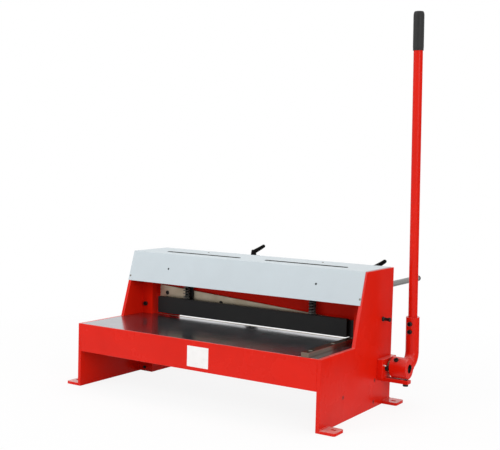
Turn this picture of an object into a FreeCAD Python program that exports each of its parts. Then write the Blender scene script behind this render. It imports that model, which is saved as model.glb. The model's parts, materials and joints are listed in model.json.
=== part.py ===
import FreeCAD, Part
import math
import os

# Hand-lever guillotine shear for sheet metal, 1000 mm cutting width.
# Millimetres. +X is to the right as seen from the front, +Y to the rear, +Z up.
# The origin is on the floor, at the centre of the four foot slots.

# Frame
WIDTH = 1190.0
DEPTH = 628.0
PLATE_T = 15.0
TABLE_Z = 274.0
PLATE_TOP = 565.0
SLOPE_FOOT_Y = -34.4
SLOPE_HEAD_Y = 55.1
APRON_T = 6.0
APRON_BOTTOM = 153.5
TABLE_T = 25.0
BEAM_T = 25.0
BEAM_BOTTOM = 159.0
TIE_T = 12.0
REAR_TIE_Z = (30.0, 90.0)
REAR_FLANGE_W = 60.5
REAR_FLANGE_Z = (12.0, 545.0)
TOP_TIE_Y = 234.0
TOP_TIE_T = 24.0
EDGE = 1.0

FOOT_T = 12.0
FOOT_REACH = 65.0
FOOT_LENGTH = 76.0
FOOT_CORNER_R = 10.0
FOOT_SLOT_W = 13.0
FOOT_SLOT_L = 22.0
FOOT_SLOT_X = 633.0
FOOT_SLOT_Y = 270.0

# Blades and hold-down
SHEAR_Y = 135.0
BLADE_GAP = 0.1
BLADE_T = 12.0
BLADE_HALF = 501.0
BLADE_H = 60.0
BLADE_MID_Z = 349.35
RAKE = 0.0615
BLADE_SCREW_X = (-460.0, -157.0, 157.0, 460.0)
BLADE_SCREW_DROP = 2.5
LOWER_BLADE_T = 15.9
LOWER_BLADE_H = 60.0
LOWER_SCREW_X = (-450.0, -225.0, 0.0, 225.0, 450.0)
HOLD_HALF = 488.0
HOLD_Y = 103.0
HOLD_T = 20.0
HOLD_BOTTOM = 284.5
HOLD_TOP = 359.5
HOLD_LUG_Y = (123.0, 134.0)
HOLD_LUG_X = ((-505.0, -470.0), (470.0, 519.5))
HOLD_LUG_TOP = 354.0

# Ram, its guides and its stroke
STROKE = 82.0
RAM_T = 25.0
RAM_HALF = 547.5
RAM_TOP = 520.0
RAM_LEG_W = 27.0
RAM_LEG_BOTTOM = 165.0
RAM_EDGE_ABOVE_BLADE = 16.0
SLIDE_GAP = 0.15
GUIDE_TOP = 540.0
GUIDE_W = 59.5
WEB_T = 32.0
COLUMN_REAR_Y = 240.0
FLANGE_BOTTOM = 262.0
KEEPER_Y = 100.0
KEEPER_T = 25.0
GIB_W = 26.85
SHOE_TOP = 60.0
SHOE_FOOT = 3.0
SHOE_FRONT_Y = 86.0
SHOE_REAR_Y = 232.0
SHOE_INNER_X = 504.0
KEEPER_BOLT_X = 558.0
KEEPER_BOLT_Z = (90.0, 200.0, 319.0, 430.0, 525.0)

# Lever, shaft and cranks
AXIS_Y = 248.0
AXIS_Z = 160.0
SHAFT_R = 18.0
SHAFT_END = 701.0
BUSH_R = 23.0
RUNNING_FIT = 0.05
SWING_DEG = 85.0
PIN_R = 13.0
PIN_SLACK = 2.0
CRANK_X = (498.0, 514.0)
CRANK_BOSS_R = 34.0
CRANK_PIN_BOSS_R = 22.0
PIN_END_X = 546.5
YOKE_X = (520.5, 547.0)
YOKE_REAR_Y = 229.5
YOKE_SLOT_END_Y = 217.5
YOKE_Z = (168.0, 236.0)
HUB_R = 43.5
HUB_X = (634.0, 708.0)
HUB_SCREW_X = 660.0
SOCKET_X = 682.0
SOCKET_R = 28.0
SOCKET_TOP = 363.0
ELBOW_Y = 334.0
ELBOW_Z = 178.0
ELBOW_R = 50.0
LEAN = 0.043
TUBE_R = 19.0
TUBE_WALL = 3.0
TUBE_FOOT = 268.0
TUBE_TOP = 1604.0
GRIP_R = 22.0
GRIP_Z = (1457.0, 1614.0)
SOCKET_SCREW_Z = (303.0, 336.0)
BLOCK_T = 24.0
BLOCK_Y = (177.5, 313.5)
BLOCK_Z = (118.0, 196.5)
BLOCK_SCREW_DY = 36.0
BLOCK_SCREW_Z = 157.0
NIPPLE_Y = 188.0
NIPPLE_Z = 172.0
COLLAR_R = 25.0
COLLAR_W = 15.0

# Stops and small parts on the frame
STOP_BAR_Y = (222.0, 254.0)
STOP_BAR_Z = (99.0, 115.0)
STOP_BAR_END = 714.0
STOP_SCREW_X = 698.5
STOP_SCREW_Y = 235.0
STUD_Y = 217.5
STUD_Z = 358.3
STUD_END = 630.0
FENCE_X = (511.0, 543.0)
FENCE_Z_TOP = 292.5
FENCE_REAR_Y = 95.0
LABEL_X = (-8.0, 95.0)
LABEL_Z = (168.5, 251.5)
LABEL_T = 0.8
PLATE_SCREWS = ((-124.0, 97.0, 14.0), (153.0, 25.0, 34.0), (159.0, 113.0, 34.0))

# Cover
COVER_T = 2.5
COVER_LEFT = -595.0
COVER_RIGHT = 588.0
COVER_LOW_Z = 434.5
COVER_REAR_Y = 299.0
COVER_LIP_Z = 545.0
COVER_BEND_R = 3.5
COVER_INNER_R = 1.0
COVER_SLOTS = ((-456.0, -59.0), (73.0, 469.0))
COVER_SLOT_Y = 131.5
COVER_SLOT_W = 18.0
SLOT_EDGING_T = 2.0
SLOT_EDGING_LIP = 2.0
COVER_TOP_SCREW_X = (-300.0, 300.0)
COVER_PLUG_X = (-378.0, 378.0)
COVER_PLUG_Z = 501.0
COVER_END_SCREWS = ((-587.0, 455.0), (583.0, 459.0))

# Springs and their brackets
SPRING_X = 327.0
SPRING_MIDDLE_X = -6.0
SPRING_Y = 112.0
SPRING_R = 14.0
WIRE = 4.5
SPRING_END = 2.9
SPRING_SEAT_T = 2.5
SPRING_SEAT_R = 17.0
SPRING_TOP = 509.0
SPRING_TURNS = 12
BRACKET_T = 8.0
BRACKET_FRONT_Y = 92.0
BRACKET_LEG_BOTTOM = 430.0
BRACKET_X = (293.0, 352.0)
GUIDE_X = (302.0, 334.0)
GUIDE_Y = 129.5
HOLD_GUIDE_Z = (300.0, 526.0)
SPRING_BOLT_D = 12.0
SPRING_BOLT_TOP = 530.0
SPRING_NUT_R = 10.9
SPRING_NUT_H = 10.0

# Back gauge
ROD_X = 400.0
ROD_Z = 437.0
ROD_R = 14.0
ROD_END = 1053.0
ROD_CAP_L = 21.0
STOP_HALF_X = 25.0
STOP_HALF_Y = 20.0
STOP_BLOCK_Z = (412.0, 512.7)
STOP_PLATE_T = 8.0
STOP_PLATE_OUT = 20.0
STOP_PLATE_IN = 47.0
STOP_PLATE_BOTTOM = 262.0
CLAMP_BASE_Z = 513.0
CLAMP_TOP_Z = 544.0
CLAMP_HUB_R = (14.5, 11.5)
CLAMP_STUD_R = 5.0
CLAMP_ARM_Z = 530.0
CLAMP_ARM_REACH = 60.0
CLAMP_ARM_RISE = 34.0
CLAMP_ARM_R = (10.0, 8.5)
STOPS = {"left": (-ROD_X, 783.0, 0.0), "right": (ROD_X, 540.0, -15.0)}

# Worked out from the sizes above
OUTER = WIDTH / 2
INNER = OUTER - PLATE_T
FRONT_Y = -DEPTH / 2
REAR_Y = DEPTH / 2
RAM_Y = SHEAR_Y + BLADE_T
RAM_REAR_Y = RAM_Y + RAM_T
GUIDE_INNER_X = INNER - GUIDE_W
WEB_X = INNER - WEB_T
HALF_SWING = math.radians(SWING_DEG / 2)
CRANK_R = STROKE / 2 / math.sin(HALF_SWING)
PIN_Y = AXIS_Y - CRANK_R * math.cos(HALF_SWING)
PIN_Z = AXIS_Z + STROKE / 2
SLOPE_LENGTH = math.hypot(SLOPE_HEAD_Y - SLOPE_FOOT_Y, PLATE_TOP - TABLE_Z)
SLOPE_Y = (SLOPE_HEAD_Y - SLOPE_FOOT_Y) / SLOPE_LENGTH
SLOPE_Z = (PLATE_TOP - TABLE_Z) / SLOPE_LENGTH
LEAN_ANGLE = math.atan(LEAN)

V = FreeCAD.Vector
X_AXIS = V(1, 0, 0)
Y_AXIS = V(0, 1, 0)
Z_AXIS = V(0, 0, 1)


def block(x0, x1, y0, y1, z0, z1):
    """Box between two corners."""
    return Part.makeBox(x1 - x0, y1 - y0, z1 - z0, V(x0, y0, z0))


def bar_x(x0, x1, y, z, radius):
    """Round bar along X."""
    return Part.makeCylinder(radius, x1 - x0, V(x0, y, z), X_AXIS)


def bar_y(y0, y1, x, z, radius):
    """Round bar along Y."""
    return Part.makeCylinder(radius, y1 - y0, V(x, y0, z), Y_AXIS)


def bar_z(z0, z1, x, y, radius):
    """Round bar along Z."""
    return Part.makeCylinder(radius, z1 - z0, V(x, y, z0), Z_AXIS)


def prism_x(points, x0, x1):
    """Plate with an outline of (y, z) points, from x0 to x1."""
    corners = [V(x0, y, z) for y, z in points]
    outline = Part.makePolygon(corners + corners[:1])
    return Part.Face(outline).extrude(V(x1 - x0, 0, 0))


def prism_y(points, y0, y1):
    """Plate with an outline of (x, z) points, from y0 to y1."""
    corners = [V(x, y0, z) for x, z in points]
    outline = Part.makePolygon(corners + corners[:1])
    return Part.Face(outline).extrude(V(0, y1 - y0, 0))


def eased(shape, size=EDGE):
    """The shape with every edge broken by a small chamfer."""
    return shape.makeChamfer(size, shape.Edges)


def mirrored(shape):
    """The same piece on the other side of the machine."""
    return shape.mirror(V(0, 0, 0), X_AXIS)


def group(shapes):
    """Separate solids kept in one file."""
    return Part.makeCompound(shapes)


def both_sides(shape):
    """A piece and its mirror image as two separate solids."""
    return group([mirrored(shape), shape])


def cap_screw(seat, along, d, head_d, head_h, length):
    """Socket cap screw: the head stands on the seat, the shank runs along."""
    head = Part.makeCylinder(head_d / 2, head_h, seat, along * -1)
    crown = [edge for edge in head.Edges
             if (edge.CenterOfMass - seat).dot(along) < -head_h + 0.01]
    head = head.makeChamfer(head_h * 0.1, crown)
    socket_r = d * 0.46
    top = seat - along * head_h
    side = along.cross(X_AXIS if abs(along.x) < 0.5 else Y_AXIS).normalize()
    across = along.cross(side)
    corners = []
    for index in range(6):
        angle = math.radians(60 * index)
        spoke = side * math.cos(angle) + across * math.sin(angle)
        corners.append(top + spoke * socket_r)
    socket = Part.Face(Part.makePolygon(corners + corners[:1]))
    head = head.cut(socket.extrude(along * (head_h * 0.55)))
    shank = Part.makeCylinder(d / 2, length, seat, along)
    return head.fuse(shank)


def screw_hole(seat, along, d, length):
    """Room for a screw's shank."""
    start = seat - along * 2
    return Part.makeCylinder(d / 2 + 0.1, length + 2.5, start, along)


def countersunk(seat, along, d, length, room=0.0):
    """Countersunk screw flush with the surface at seat, or room for one."""
    head_h = d / 2
    head = Part.makeCone(d + room, d / 2 + room, head_h, seat, along)
    shank = Part.makeCylinder(d / 2 + room, length + 3 * room, seat, along)
    screw = head.fuse(shank)
    if room == 0.0:
        recess = Part.makeCylinder(d * 0.3, d * 0.35, seat, along)
        screw = screw.cut(recess)
    return screw


def blade_mid(x):
    """Height of the upper blade's middle line at x."""
    return BLADE_MID_Z - RAKE * x


def slope_point(z, out=0.0):
    """Point (y, z) on the plates' sloped edge, moved outwards."""
    run = (z - TABLE_Z - SLOPE_Y * out) / SLOPE_Z
    return SLOPE_FOOT_Y - SLOPE_Z * out + SLOPE_Y * run, z


def handle_y(z):
    """The handle's centre line leans forward as it rises."""
    return ELBOW_Y - LEAN * (z - ELBOW_Z)


def on_handle(shape):
    """Turn a piece built about +Z at the origin onto the handle's line."""
    turned = shape.copy()
    turned.rotate(V(0, 0, 0), X_AXIS, math.degrees(LEAN_ANGLE))
    return turned


def handle_tube_solid(radius, z0, z1):
    """Round bar on the handle's line between two heights."""
    foot = V(SOCKET_X, handle_y(z0), z0)
    head = V(SOCKET_X, handle_y(z1), z1)
    return Part.makeCylinder(radius, (head - foot).Length, foot, head - foot)


def plate_screw_seats():
    """Seats of the flush screws in the right plate's outer face."""
    return [(V(OUTER, y, z), length) for y, z, length in PLATE_SCREWS]


def cover_end_seats():
    """Seats of the screws that hold the cover to the plates' sloped edges."""
    seats = []
    for x, z in COVER_END_SCREWS:
        y, z = slope_point(z, COVER_T)
        seats.append(V(x, y, z))
    return seats


def side_plate_right():
    outline = [(FRONT_Y, 0), (REAR_Y, 0), (REAR_Y, PLATE_TOP), (SLOPE_HEAD_Y, PLATE_TOP),
               (SLOPE_FOOT_Y, TABLE_Z), (FRONT_Y, TABLE_Z)]
    plate = eased(prism_x(outline, INNER, OUTER))
    plate = plate.cut(bar_x(INNER - 1, OUTER + 1, AXIS_Y, AXIS_Z, BUSH_R))
    for seat, length in plate_screw_seats():
        plate = plate.cut(countersunk(seat, V(-1, 0, 0), 8, length, 0.1))
    for seat in bearing_screw_seats():
        plate = plate.cut(screw_hole(seat, V(-1, 0, 0), 12, 30))
    return plate


def side_plate(side):
    """Side plate with the holes of its own cover screw and studs."""
    plate = side_plate_right()
    if side == "left":
        plate = mirrored(plate)
    seat = cover_end_seats()[0 if side == "left" else 1]
    along = V(0, SLOPE_Z, -SLOPE_Y)
    return plate.cut(screw_hole(seat, along, 5, 14))


def apron():
    return eased(block(-INNER, INNER, FRONT_Y, FRONT_Y + APRON_T, APRON_BOTTOM, TABLE_Z))


def table_plate():
    plate = block(-INNER, INNER, FRONT_Y + APRON_T, KEEPER_Y, TABLE_Z - TABLE_T, TABLE_Z)
    rear = SHEAR_Y - BLADE_GAP - LOWER_BLADE_T
    tongue = block(-GUIDE_INNER_X, GUIDE_INNER_X, KEEPER_Y - 5, rear,
                   TABLE_Z - TABLE_T, TABLE_Z)
    plate = plate.fuse(tongue).removeSplitter()
    for seat in fence_seats():
        plate = plate.cut(screw_hole(seat, V(0, 0, -1), 8, FENCE_Z_TOP - TABLE_Z + 20))
    return plate


def table_beam():
    rear = SHEAR_Y - BLADE_GAP - LOWER_BLADE_T
    beam = block(-GUIDE_INNER_X, GUIDE_INNER_X, rear - BEAM_T, rear,
                 BEAM_BOTTOM, TABLE_Z - TABLE_T)
    for seat in lower_blade_seats():
        beam = beam.cut(screw_hole(seat, V(0, -1, 0), 10, 36))
    return beam


def rear_tie():
    y1 = REAR_Y - TIE_T
    return eased(block(-INNER, INNER, y1 - TIE_T, y1, REAR_TIE_Z[0], REAR_TIE_Z[1]))


def rear_flange_right():
    """Strip across the rear edge of a side plate, which the rear tie is welded to."""
    return eased(block(INNER - REAR_FLANGE_W, INNER, REAR_Y - TIE_T, REAR_Y,
                       REAR_FLANGE_Z[0], REAR_FLANGE_Z[1]))


def top_tie():
    tie = block(-INNER, INNER, TOP_TIE_Y - TOP_TIE_T / 2, TOP_TIE_Y + TOP_TIE_T / 2,
                PLATE_TOP - TOP_TIE_T, PLATE_TOP)
    for x in COVER_TOP_SCREW_X:
        tie = tie.cut(bar_z(PLATE_TOP - 15, PLATE_TOP + 1, x, TOP_TIE_Y, 2.6))
    return tie


def foot(side_x, side_y):
    """Lug outside a side plate, with a slot along X for a floor bolt."""
    x0 = OUTER
    x1 = OUTER + FOOT_REACH
    lug = block(x0, x1, REAR_Y - FOOT_LENGTH, REAR_Y, 0, FOOT_T)
    corners = [edge for edge in lug.Edges
               if edge.BoundBox.ZLength > 1 and edge.BoundBox.XMin > x1 - 1]
    lug = lug.makeFillet(FOOT_CORNER_R, corners)
    half = (FOOT_SLOT_L - FOOT_SLOT_W) / 2
    slot = block(FOOT_SLOT_X - half, FOOT_SLOT_X + half, FOOT_SLOT_Y - FOOT_SLOT_W / 2,
                 FOOT_SLOT_Y + FOOT_SLOT_W / 2, -1, FOOT_T + 1)
    for x in (FOOT_SLOT_X - half, FOOT_SLOT_X + half):
        slot = slot.fuse(bar_z(-1, FOOT_T + 1, x, FOOT_SLOT_Y, FOOT_SLOT_W / 2))
    lug = lug.cut(slot.removeSplitter())
    if side_x < 0:
        lug = mirrored(lug)
    if side_y < 0:
        lug = lug.mirror(V(0, 0, 0), Y_AXIS)
    return lug


def feet(side_y):
    """The two foot lugs at the front or the rear."""
    return group([foot(side_x, side_y) for side_x in (-1, 1)])


def lower_blade_seats():
    z = TABLE_Z - LOWER_BLADE_H / 2
    return [V(x, SHEAR_Y - BLADE_GAP - 0.5, z) for x in LOWER_SCREW_X]


def lower_blade():
    blade = block(-BLADE_HALF, BLADE_HALF, SHEAR_Y - BLADE_GAP - LOWER_BLADE_T,
                  SHEAR_Y - BLADE_GAP, TABLE_Z - LOWER_BLADE_H, TABLE_Z)
    for seat in lower_blade_seats():
        blade = blade.cut(countersunk(seat, V(0, -1, 0), 10, 36, 0.1))
        blade = blade.cut(bar_y(seat.y, seat.y + 2, seat.x, seat.z, 10.1))
    return blade


def lower_blade_screws():
    return group([countersunk(seat, V(0, -1, 0), 10, 36) for seat in lower_blade_seats()])


def guide_column_right():
    """Web along the side plate, rear flange, and a shoe on the floor side."""
    column = block(WEB_X, INNER, KEEPER_Y + KEEPER_T, COLUMN_REAR_Y, SHOE_FOOT, GUIDE_TOP)
    flange = block(GUIDE_INNER_X, INNER, RAM_REAR_Y + SLIDE_GAP, COLUMN_REAR_Y,
                   FLANGE_BOTTOM, GUIDE_TOP)
    shoe = block(SHOE_INNER_X, INNER, SHOE_FRONT_Y, SHOE_REAR_Y, SHOE_FOOT, SHOE_TOP)
    column = column.fuse([flange, shoe]).removeSplitter()
    column = column.cut(bar_x(WEB_X - 1, INNER + 1, AXIS_Y, AXIS_Z, SHAFT_R + 4))
    for seat, length in plate_screw_seats():
        column = column.cut(screw_hole(seat, V(-1, 0, 0), 8, length))
    for seat in keeper_bolt_seats():
        column = column.cut(screw_hole(seat, Y_AXIS, 12, 52))
    return column


def keeper_bolt_seats():
    return [V(KEEPER_BOLT_X, KEEPER_Y, z) for z in KEEPER_BOLT_Z]


def guide_keeper_right():
    """Strap in front of the ram's end, bolted to the column's web."""
    keeper = block(GUIDE_INNER_X, INNER, KEEPER_Y, KEEPER_Y + KEEPER_T, SHOE_TOP, GUIDE_TOP)
    for seat in keeper_bolt_seats():
        keeper = keeper.cut(screw_hole(seat, Y_AXIS, 12, 52))
    return keeper


def gib_strip_right():
    """Steel strip behind the keeper that the ram slides on."""
    x1 = WEB_X - SLIDE_GAP
    return block(x1 - GIB_W, x1, KEEPER_Y + KEEPER_T, RAM_Y - SLIDE_GAP,
                 FLANGE_BOTTOM, GUIDE_TOP)


def keeper_bolts():
    bolts = []
    for seat in keeper_bolt_seats():
        bolts.append(cap_screw(seat, Y_AXIS, 12, 20, 10, 50))
    shoe_bolt = cap_screw(V(546, SHOE_FRONT_Y - 0.1, 21), Y_AXIS, 8, 14, 6, 0.1)
    bolts.append(shoe_bolt)
    return group(bolts + [mirrored(bolt) for bolt in bolts])


def countersunk_screws():
    """Flush screws of the side plates and the fence."""
    screws = []
    for seat, length in plate_screw_seats():
        screw = countersunk(seat, V(-1, 0, 0), 8, length)
        screws.append(screw)
        screws.append(mirrored(screw))
    for seat in fence_seats():
        screws.append(countersunk(seat, V(0, 0, -1), 8, FENCE_Z_TOP - TABLE_Z + 18))
    return group(screws)


def bent_sheet(out, bend_r, x0, x1, closing):
    """Solid under one face of the cover, its bend rounded."""
    corner = slope_point(PLATE_TOP + out, out)
    outline = [slope_point(COVER_LOW_Z, out), corner, (COVER_REAR_Y, PLATE_TOP + out)]
    solid = prism_x(outline + closing, x0, x1)
    bend = [edge for edge in solid.Edges
            if edge.BoundBox.XLength > 1
            and abs(edge.CenterOfMass.y - corner[0]) < 0.01
            and abs(edge.CenterOfMass.z - corner[1]) < 0.01]
    return solid.makeFillet(bend_r, bend)


def cover_slot(ends, out, z0, z1):
    """Round-ended body through a slot in the cover's top, its outline moved outwards."""
    r = COVER_SLOT_W / 2
    middles = (ends[0] + r, ends[1] - r)
    slot = block(middles[0], middles[1], COVER_SLOT_Y - r - out, COVER_SLOT_Y + r + out, z0, z1)
    for x in middles:
        slot = slot.fuse(bar_z(z0, z1, x, COVER_SLOT_Y, r + out))
    return slot.removeSplitter()


def slot_edging(ends):
    """Rubber strip that grips the edge of a slot in the cover."""
    z0 = PLATE_TOP - 1.5
    z1 = PLATE_TOP + COVER_T + 1.5
    strip = cover_slot(ends, SLOT_EDGING_LIP, z0, z1)
    strip = strip.cut(cover_slot(ends, -SLOT_EDGING_T, z0 - 1, z1 + 1))
    groove = cover_slot(ends, SLOT_EDGING_LIP + 1, PLATE_TOP, PLATE_TOP + COVER_T)
    groove = groove.cut(cover_slot(ends, 0, PLATE_TOP - 1, PLATE_TOP + COVER_T + 1))
    return strip.cut(groove)


def cover():
    """Bent sheet that lies on the plates' slopes and tops."""
    inner_low = slope_point(COVER_LOW_Z, 0)
    closing = [(COVER_REAR_Y, PLATE_TOP - 80), (inner_low[0] + 40, COVER_LOW_Z)]
    shell = bent_sheet(COVER_T, COVER_BEND_R, COVER_LEFT, COVER_RIGHT, closing)
    shell = shell.cut(bent_sheet(0, COVER_INNER_R, COVER_LEFT - 1, COVER_RIGHT + 1, closing))
    lip = block(-INNER + 1, INNER - 1, COVER_REAR_Y - COVER_T, COVER_REAR_Y,
                COVER_LIP_Z, PLATE_TOP + 0.5)
    shell = shell.fuse(lip).removeSplitter()
    for ends in COVER_SLOTS:
        shell = shell.cut(cover_slot(ends, 0, PLATE_TOP - 1, PLATE_TOP + COVER_T + 1))
    for x in COVER_TOP_SCREW_X:
        shell = shell.cut(bar_z(PLATE_TOP - 1, PLATE_TOP + COVER_T + 1, x, TOP_TIE_Y, 2.6))
    along = V(0, SLOPE_Z, -SLOPE_Y)
    for seat in cover_end_seats():
        shell = shell.cut(screw_hole(seat, along, 5, 14))
    for seat in cover_plug_seats():
        shell = shell.cut(screw_hole(seat, along, 5, COVER_T))
    return shell


def cover_plug_seats():
    y, z = slope_point(COVER_PLUG_Z, COVER_T)
    return [V(x, y, z) for x in COVER_PLUG_X]


def pan_screw(seat, along, d, length):
    """Pan-head screw: low head on the seat, shank along."""
    head = Part.makeCone(d * 0.9, d * 0.6, d * 0.4, seat, along * -1)
    return head.fuse(Part.makeCylinder(d / 2, length, seat, along))


def cover_screws():
    top_z = PLATE_TOP + COVER_T
    screws = [pan_screw(V(x, TOP_TIE_Y, top_z), V(0, 0, -1), 5, 14)
              for x in COVER_TOP_SCREW_X]
    along = V(0, SLOPE_Z, -SLOPE_Y)
    screws += [pan_screw(seat, along, 5, 14) for seat in cover_end_seats()]
    return group(screws)


def cover_plugs():
    """Plugs that close two holes in the cover's front."""
    along = V(0, SLOPE_Z, -SLOPE_Y)
    return group([pan_screw(seat, along, 5, COVER_T) for seat in cover_plug_seats()])


def label_plate():
    return block(LABEL_X[0], LABEL_X[1], FRONT_Y - LABEL_T, FRONT_Y, LABEL_Z[0], LABEL_Z[1])


def bearing_screw_seats():
    seats = []
    for side in (-1, 1):
        seats.append(V(OUTER + BLOCK_T, AXIS_Y + side * BLOCK_SCREW_DY, BLOCK_SCREW_Z))
    return seats


def bearing_block_right():
    body = block(OUTER, OUTER + BLOCK_T, BLOCK_Y[0], BLOCK_Y[1], BLOCK_Z[0], BLOCK_Z[1])
    body = eased(body, 1.5)
    body = body.cut(bar_x(OUTER - 1, OUTER + BLOCK_T + 1, AXIS_Y, AXIS_Z, BUSH_R))
    for seat in bearing_screw_seats():
        body = body.cut(screw_hole(seat, V(-1, 0, 0), 12, 30))
    return body


def bearing_bush_right():
    x1 = OUTER + BLOCK_T
    bush = bar_x(INNER, x1, AXIS_Y, AXIS_Z, BUSH_R)
    return bush.cut(bar_x(INNER - 1, x1 + 1, AXIS_Y, AXIS_Z, SHAFT_R + RUNNING_FIT))


def cap_screws():
    """M12 cap screws of the bearing blocks and the stop bar."""
    screws = []
    for seat in bearing_screw_seats():
        screw = cap_screw(seat, V(-1, 0, 0), 12, 20, 12, 30)
        screws.append(screw)
        screws.append(mirrored(screw))
    seat = V(STOP_SCREW_X, STOP_SCREW_Y, STOP_BAR_Z[0])
    tip_z = AXIS_Z - HUB_R - 0.4
    screws.append(cap_screw(seat, Z_AXIS, 14, 22, 9.5, tip_z - seat.z))
    return group(screws)


def grease_nipple():
    x = OUTER + BLOCK_T
    body = bar_x(x, x + 4, NIPPLE_Y, NIPPLE_Z, 4)
    neck = bar_x(x + 4, x + 7, NIPPLE_Y, NIPPLE_Z, 2)
    ball = Part.makeSphere(3.2, V(x + 9, NIPPLE_Y, NIPPLE_Z))
    return body.fuse([neck, ball])


def stop_bar():
    bar = block(OUTER, STOP_BAR_END, STOP_BAR_Y[0], STOP_BAR_Y[1],
                STOP_BAR_Z[0], STOP_BAR_Z[1])
    seat = V(STOP_SCREW_X, STOP_SCREW_Y, STOP_BAR_Z[0])
    return eased(bar, 1.5).cut(screw_hole(seat, Z_AXIS, 14, 20))


def side_stud():
    flange = bar_x(OUTER, OUTER + 5, STUD_Y, STUD_Z, 10)
    stem = bar_x(OUTER + 5, STUD_END - 7, STUD_Y, STUD_Z, 6.5)
    head = bar_x(STUD_END - 7, STUD_END, STUD_Y, STUD_Z, 9)
    return flange.fuse([stem, head])


def fence_seats():
    x = (FENCE_X[0] + FENCE_X[1]) / 2
    return [V(x, y, FENCE_Z_TOP - 0.5) for y in (-270.0, -90.0, 65.0)]


def side_fence():
    """Square stop bar on the table, at right angles to the blades."""
    bar = block(FENCE_X[0], FENCE_X[1], FRONT_Y, FENCE_REAR_Y, TABLE_Z, FENCE_Z_TOP)
    bar = eased(bar)
    for seat in fence_seats():
        bar = bar.cut(countersunk(seat, V(0, 0, -1), 8, 38, 0.1))
        bar = bar.cut(bar_z(seat.z, seat.z + 2, seat.x, seat.y, 8.1))
    return bar


def drive_shaft():
    left_end = OUTER + BLOCK_T + COLLAR_W + 3
    return eased_bar(-left_end, SHAFT_END, SHAFT_R)


def eased_bar(x0, x1, radius):
    """Shaft on the lever's axis with broken ends."""
    bar = bar_x(x0, x1, AXIS_Y, AXIS_Z, radius)
    rims = [edge for edge in bar.Edges if len(edge.Vertexes) == 1]
    return bar.makeChamfer(1.5, rims)


def crank_right():
    """Arm from the shaft to the drive pin, outlined by two circles' tangents."""
    x0, x1 = CRANK_X
    boss = bar_x(x0, x1, AXIS_Y, AXIS_Z, CRANK_BOSS_R)
    pin_boss = bar_x(x0, x1, PIN_Y, PIN_Z, CRANK_PIN_BOSS_R)
    towards = math.atan2(PIN_Z - AXIS_Z, PIN_Y - AXIS_Y)
    spread = math.acos((CRANK_BOSS_R - CRANK_PIN_BOSS_R) / CRANK_R)
    points = []
    for y, z, radius, sign in ((AXIS_Y, AXIS_Z, CRANK_BOSS_R, 1),
                               (PIN_Y, PIN_Z, CRANK_PIN_BOSS_R, 1),
                               (PIN_Y, PIN_Z, CRANK_PIN_BOSS_R, -1),
                               (AXIS_Y, AXIS_Z, CRANK_BOSS_R, -1)):
        angle = towards + sign * spread
        points.append((y + radius * math.cos(angle), z + radius * math.sin(angle)))
    arm = boss.fuse([pin_boss, prism_x(points, x0, x1)])
    arm = arm.cut(bar_x(x0 - 1, x1 + 1, AXIS_Y, AXIS_Z, SHAFT_R))
    return arm.cut(bar_x(x0 - 1, x1 + 1, PIN_Y, PIN_Z, PIN_R - 3))


def crank_pin_right():
    spigot = bar_x(CRANK_X[0], CRANK_X[1], PIN_Y, PIN_Z, PIN_R - 3)
    return spigot.fuse(bar_x(CRANK_X[1], PIN_END_X, PIN_Y, PIN_Z, PIN_R))


def shaft_collar():
    x0 = -(OUTER + BLOCK_T + 0.5)
    ring = bar_x(x0 - COLLAR_W, x0, AXIS_Y, AXIS_Z, COLLAR_R)
    return ring.cut(bar_x(x0 - COLLAR_W - 1, x0 + 1, AXIS_Y, AXIS_Z, SHAFT_R))


def socket_path():
    """Centre line of the bent socket: down, round the elbow, into the hub."""
    top = V(SOCKET_X, handle_y(SOCKET_TOP), SOCKET_TOP)
    corner = V(SOCKET_X, ELBOW_Y, ELBOW_Z)
    hub = V(SOCKET_X, AXIS_Y, AXIS_Z)
    down = (corner - top).normalize()
    inwards = (hub - corner).normalize()
    turn = down.getAngle(inwards)
    reach = ELBOW_R * math.tan(turn / 2)
    start = corner - down * reach
    end = corner + inwards * reach
    bisector = (inwards - down).normalize()
    centre = corner + bisector * (ELBOW_R / math.cos(turn / 2))
    middle = centre - bisector * ELBOW_R
    last = hub - inwards * 12
    edges = [Part.makeLine(top, start), Part.Arc(start, middle, end).toShape(),
             Part.makeLine(end, last)]
    return Part.Wire(edges), top, down


def lever_arm():
    """Hub with the bent socket that the handle tube stands in."""
    hub = bar_x(HUB_X[0], HUB_X[1], AXIS_Y, AXIS_Z, HUB_R)
    rims = [edge for edge in hub.Edges if len(edge.Vertexes) == 1]
    hub = hub.makeChamfer(2.5, rims)
    path, top, down = socket_path()
    ring = Part.Wire(Part.makeCircle(SOCKET_R, top, down))
    bend = path.makePipeShell([ring], True, False)
    arm = hub.fuse(bend)
    arm = arm.cut(bar_x(HUB_X[0] - 1, HUB_X[1] + 1, AXIS_Y, AXIS_Z, SHAFT_R))
    arm = arm.cut(handle_tube_solid(TUBE_R, TUBE_FOOT, SOCKET_TOP + 20))
    for seat in socket_screw_seats():
        arm = arm.cut(screw_hole(seat, Y_AXIS, 12, 22))
        arm = arm.cut(bar_y(seat.y - 12, seat.y, seat.x, seat.z, 9.6))
    seat, along = hub_screw_seat()
    arm = arm.cut(screw_hole(seat, along, 12, HUB_R - SHAFT_R - 6))
    return arm.cut(Part.makeCylinder(9.8, 20, seat, along * -1))


def socket_screw_seats():
    return [V(SOCKET_X, handle_y(z) - SOCKET_R + 1.5, z) for z in SOCKET_SCREW_Z]


def hub_screw_seat():
    angle = math.radians(128)
    outwards = V(0, math.cos(angle), math.sin(angle))
    seat = V(HUB_SCREW_X, AXIS_Y, AXIS_Z) + outwards * (HUB_R - 6)
    return seat, outwards * -1


def lever_screws():
    """Cap screws that lock the tube in its socket and the hub on its shaft."""
    screws = [cap_screw(seat, Y_AXIS, 12, 19, 12, 19) for seat in socket_screw_seats()]
    seat, along = hub_screw_seat()
    screws.append(cap_screw(seat, along, 12, 19, 12, HUB_R - SHAFT_R - 6.2))
    return group(screws)


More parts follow.
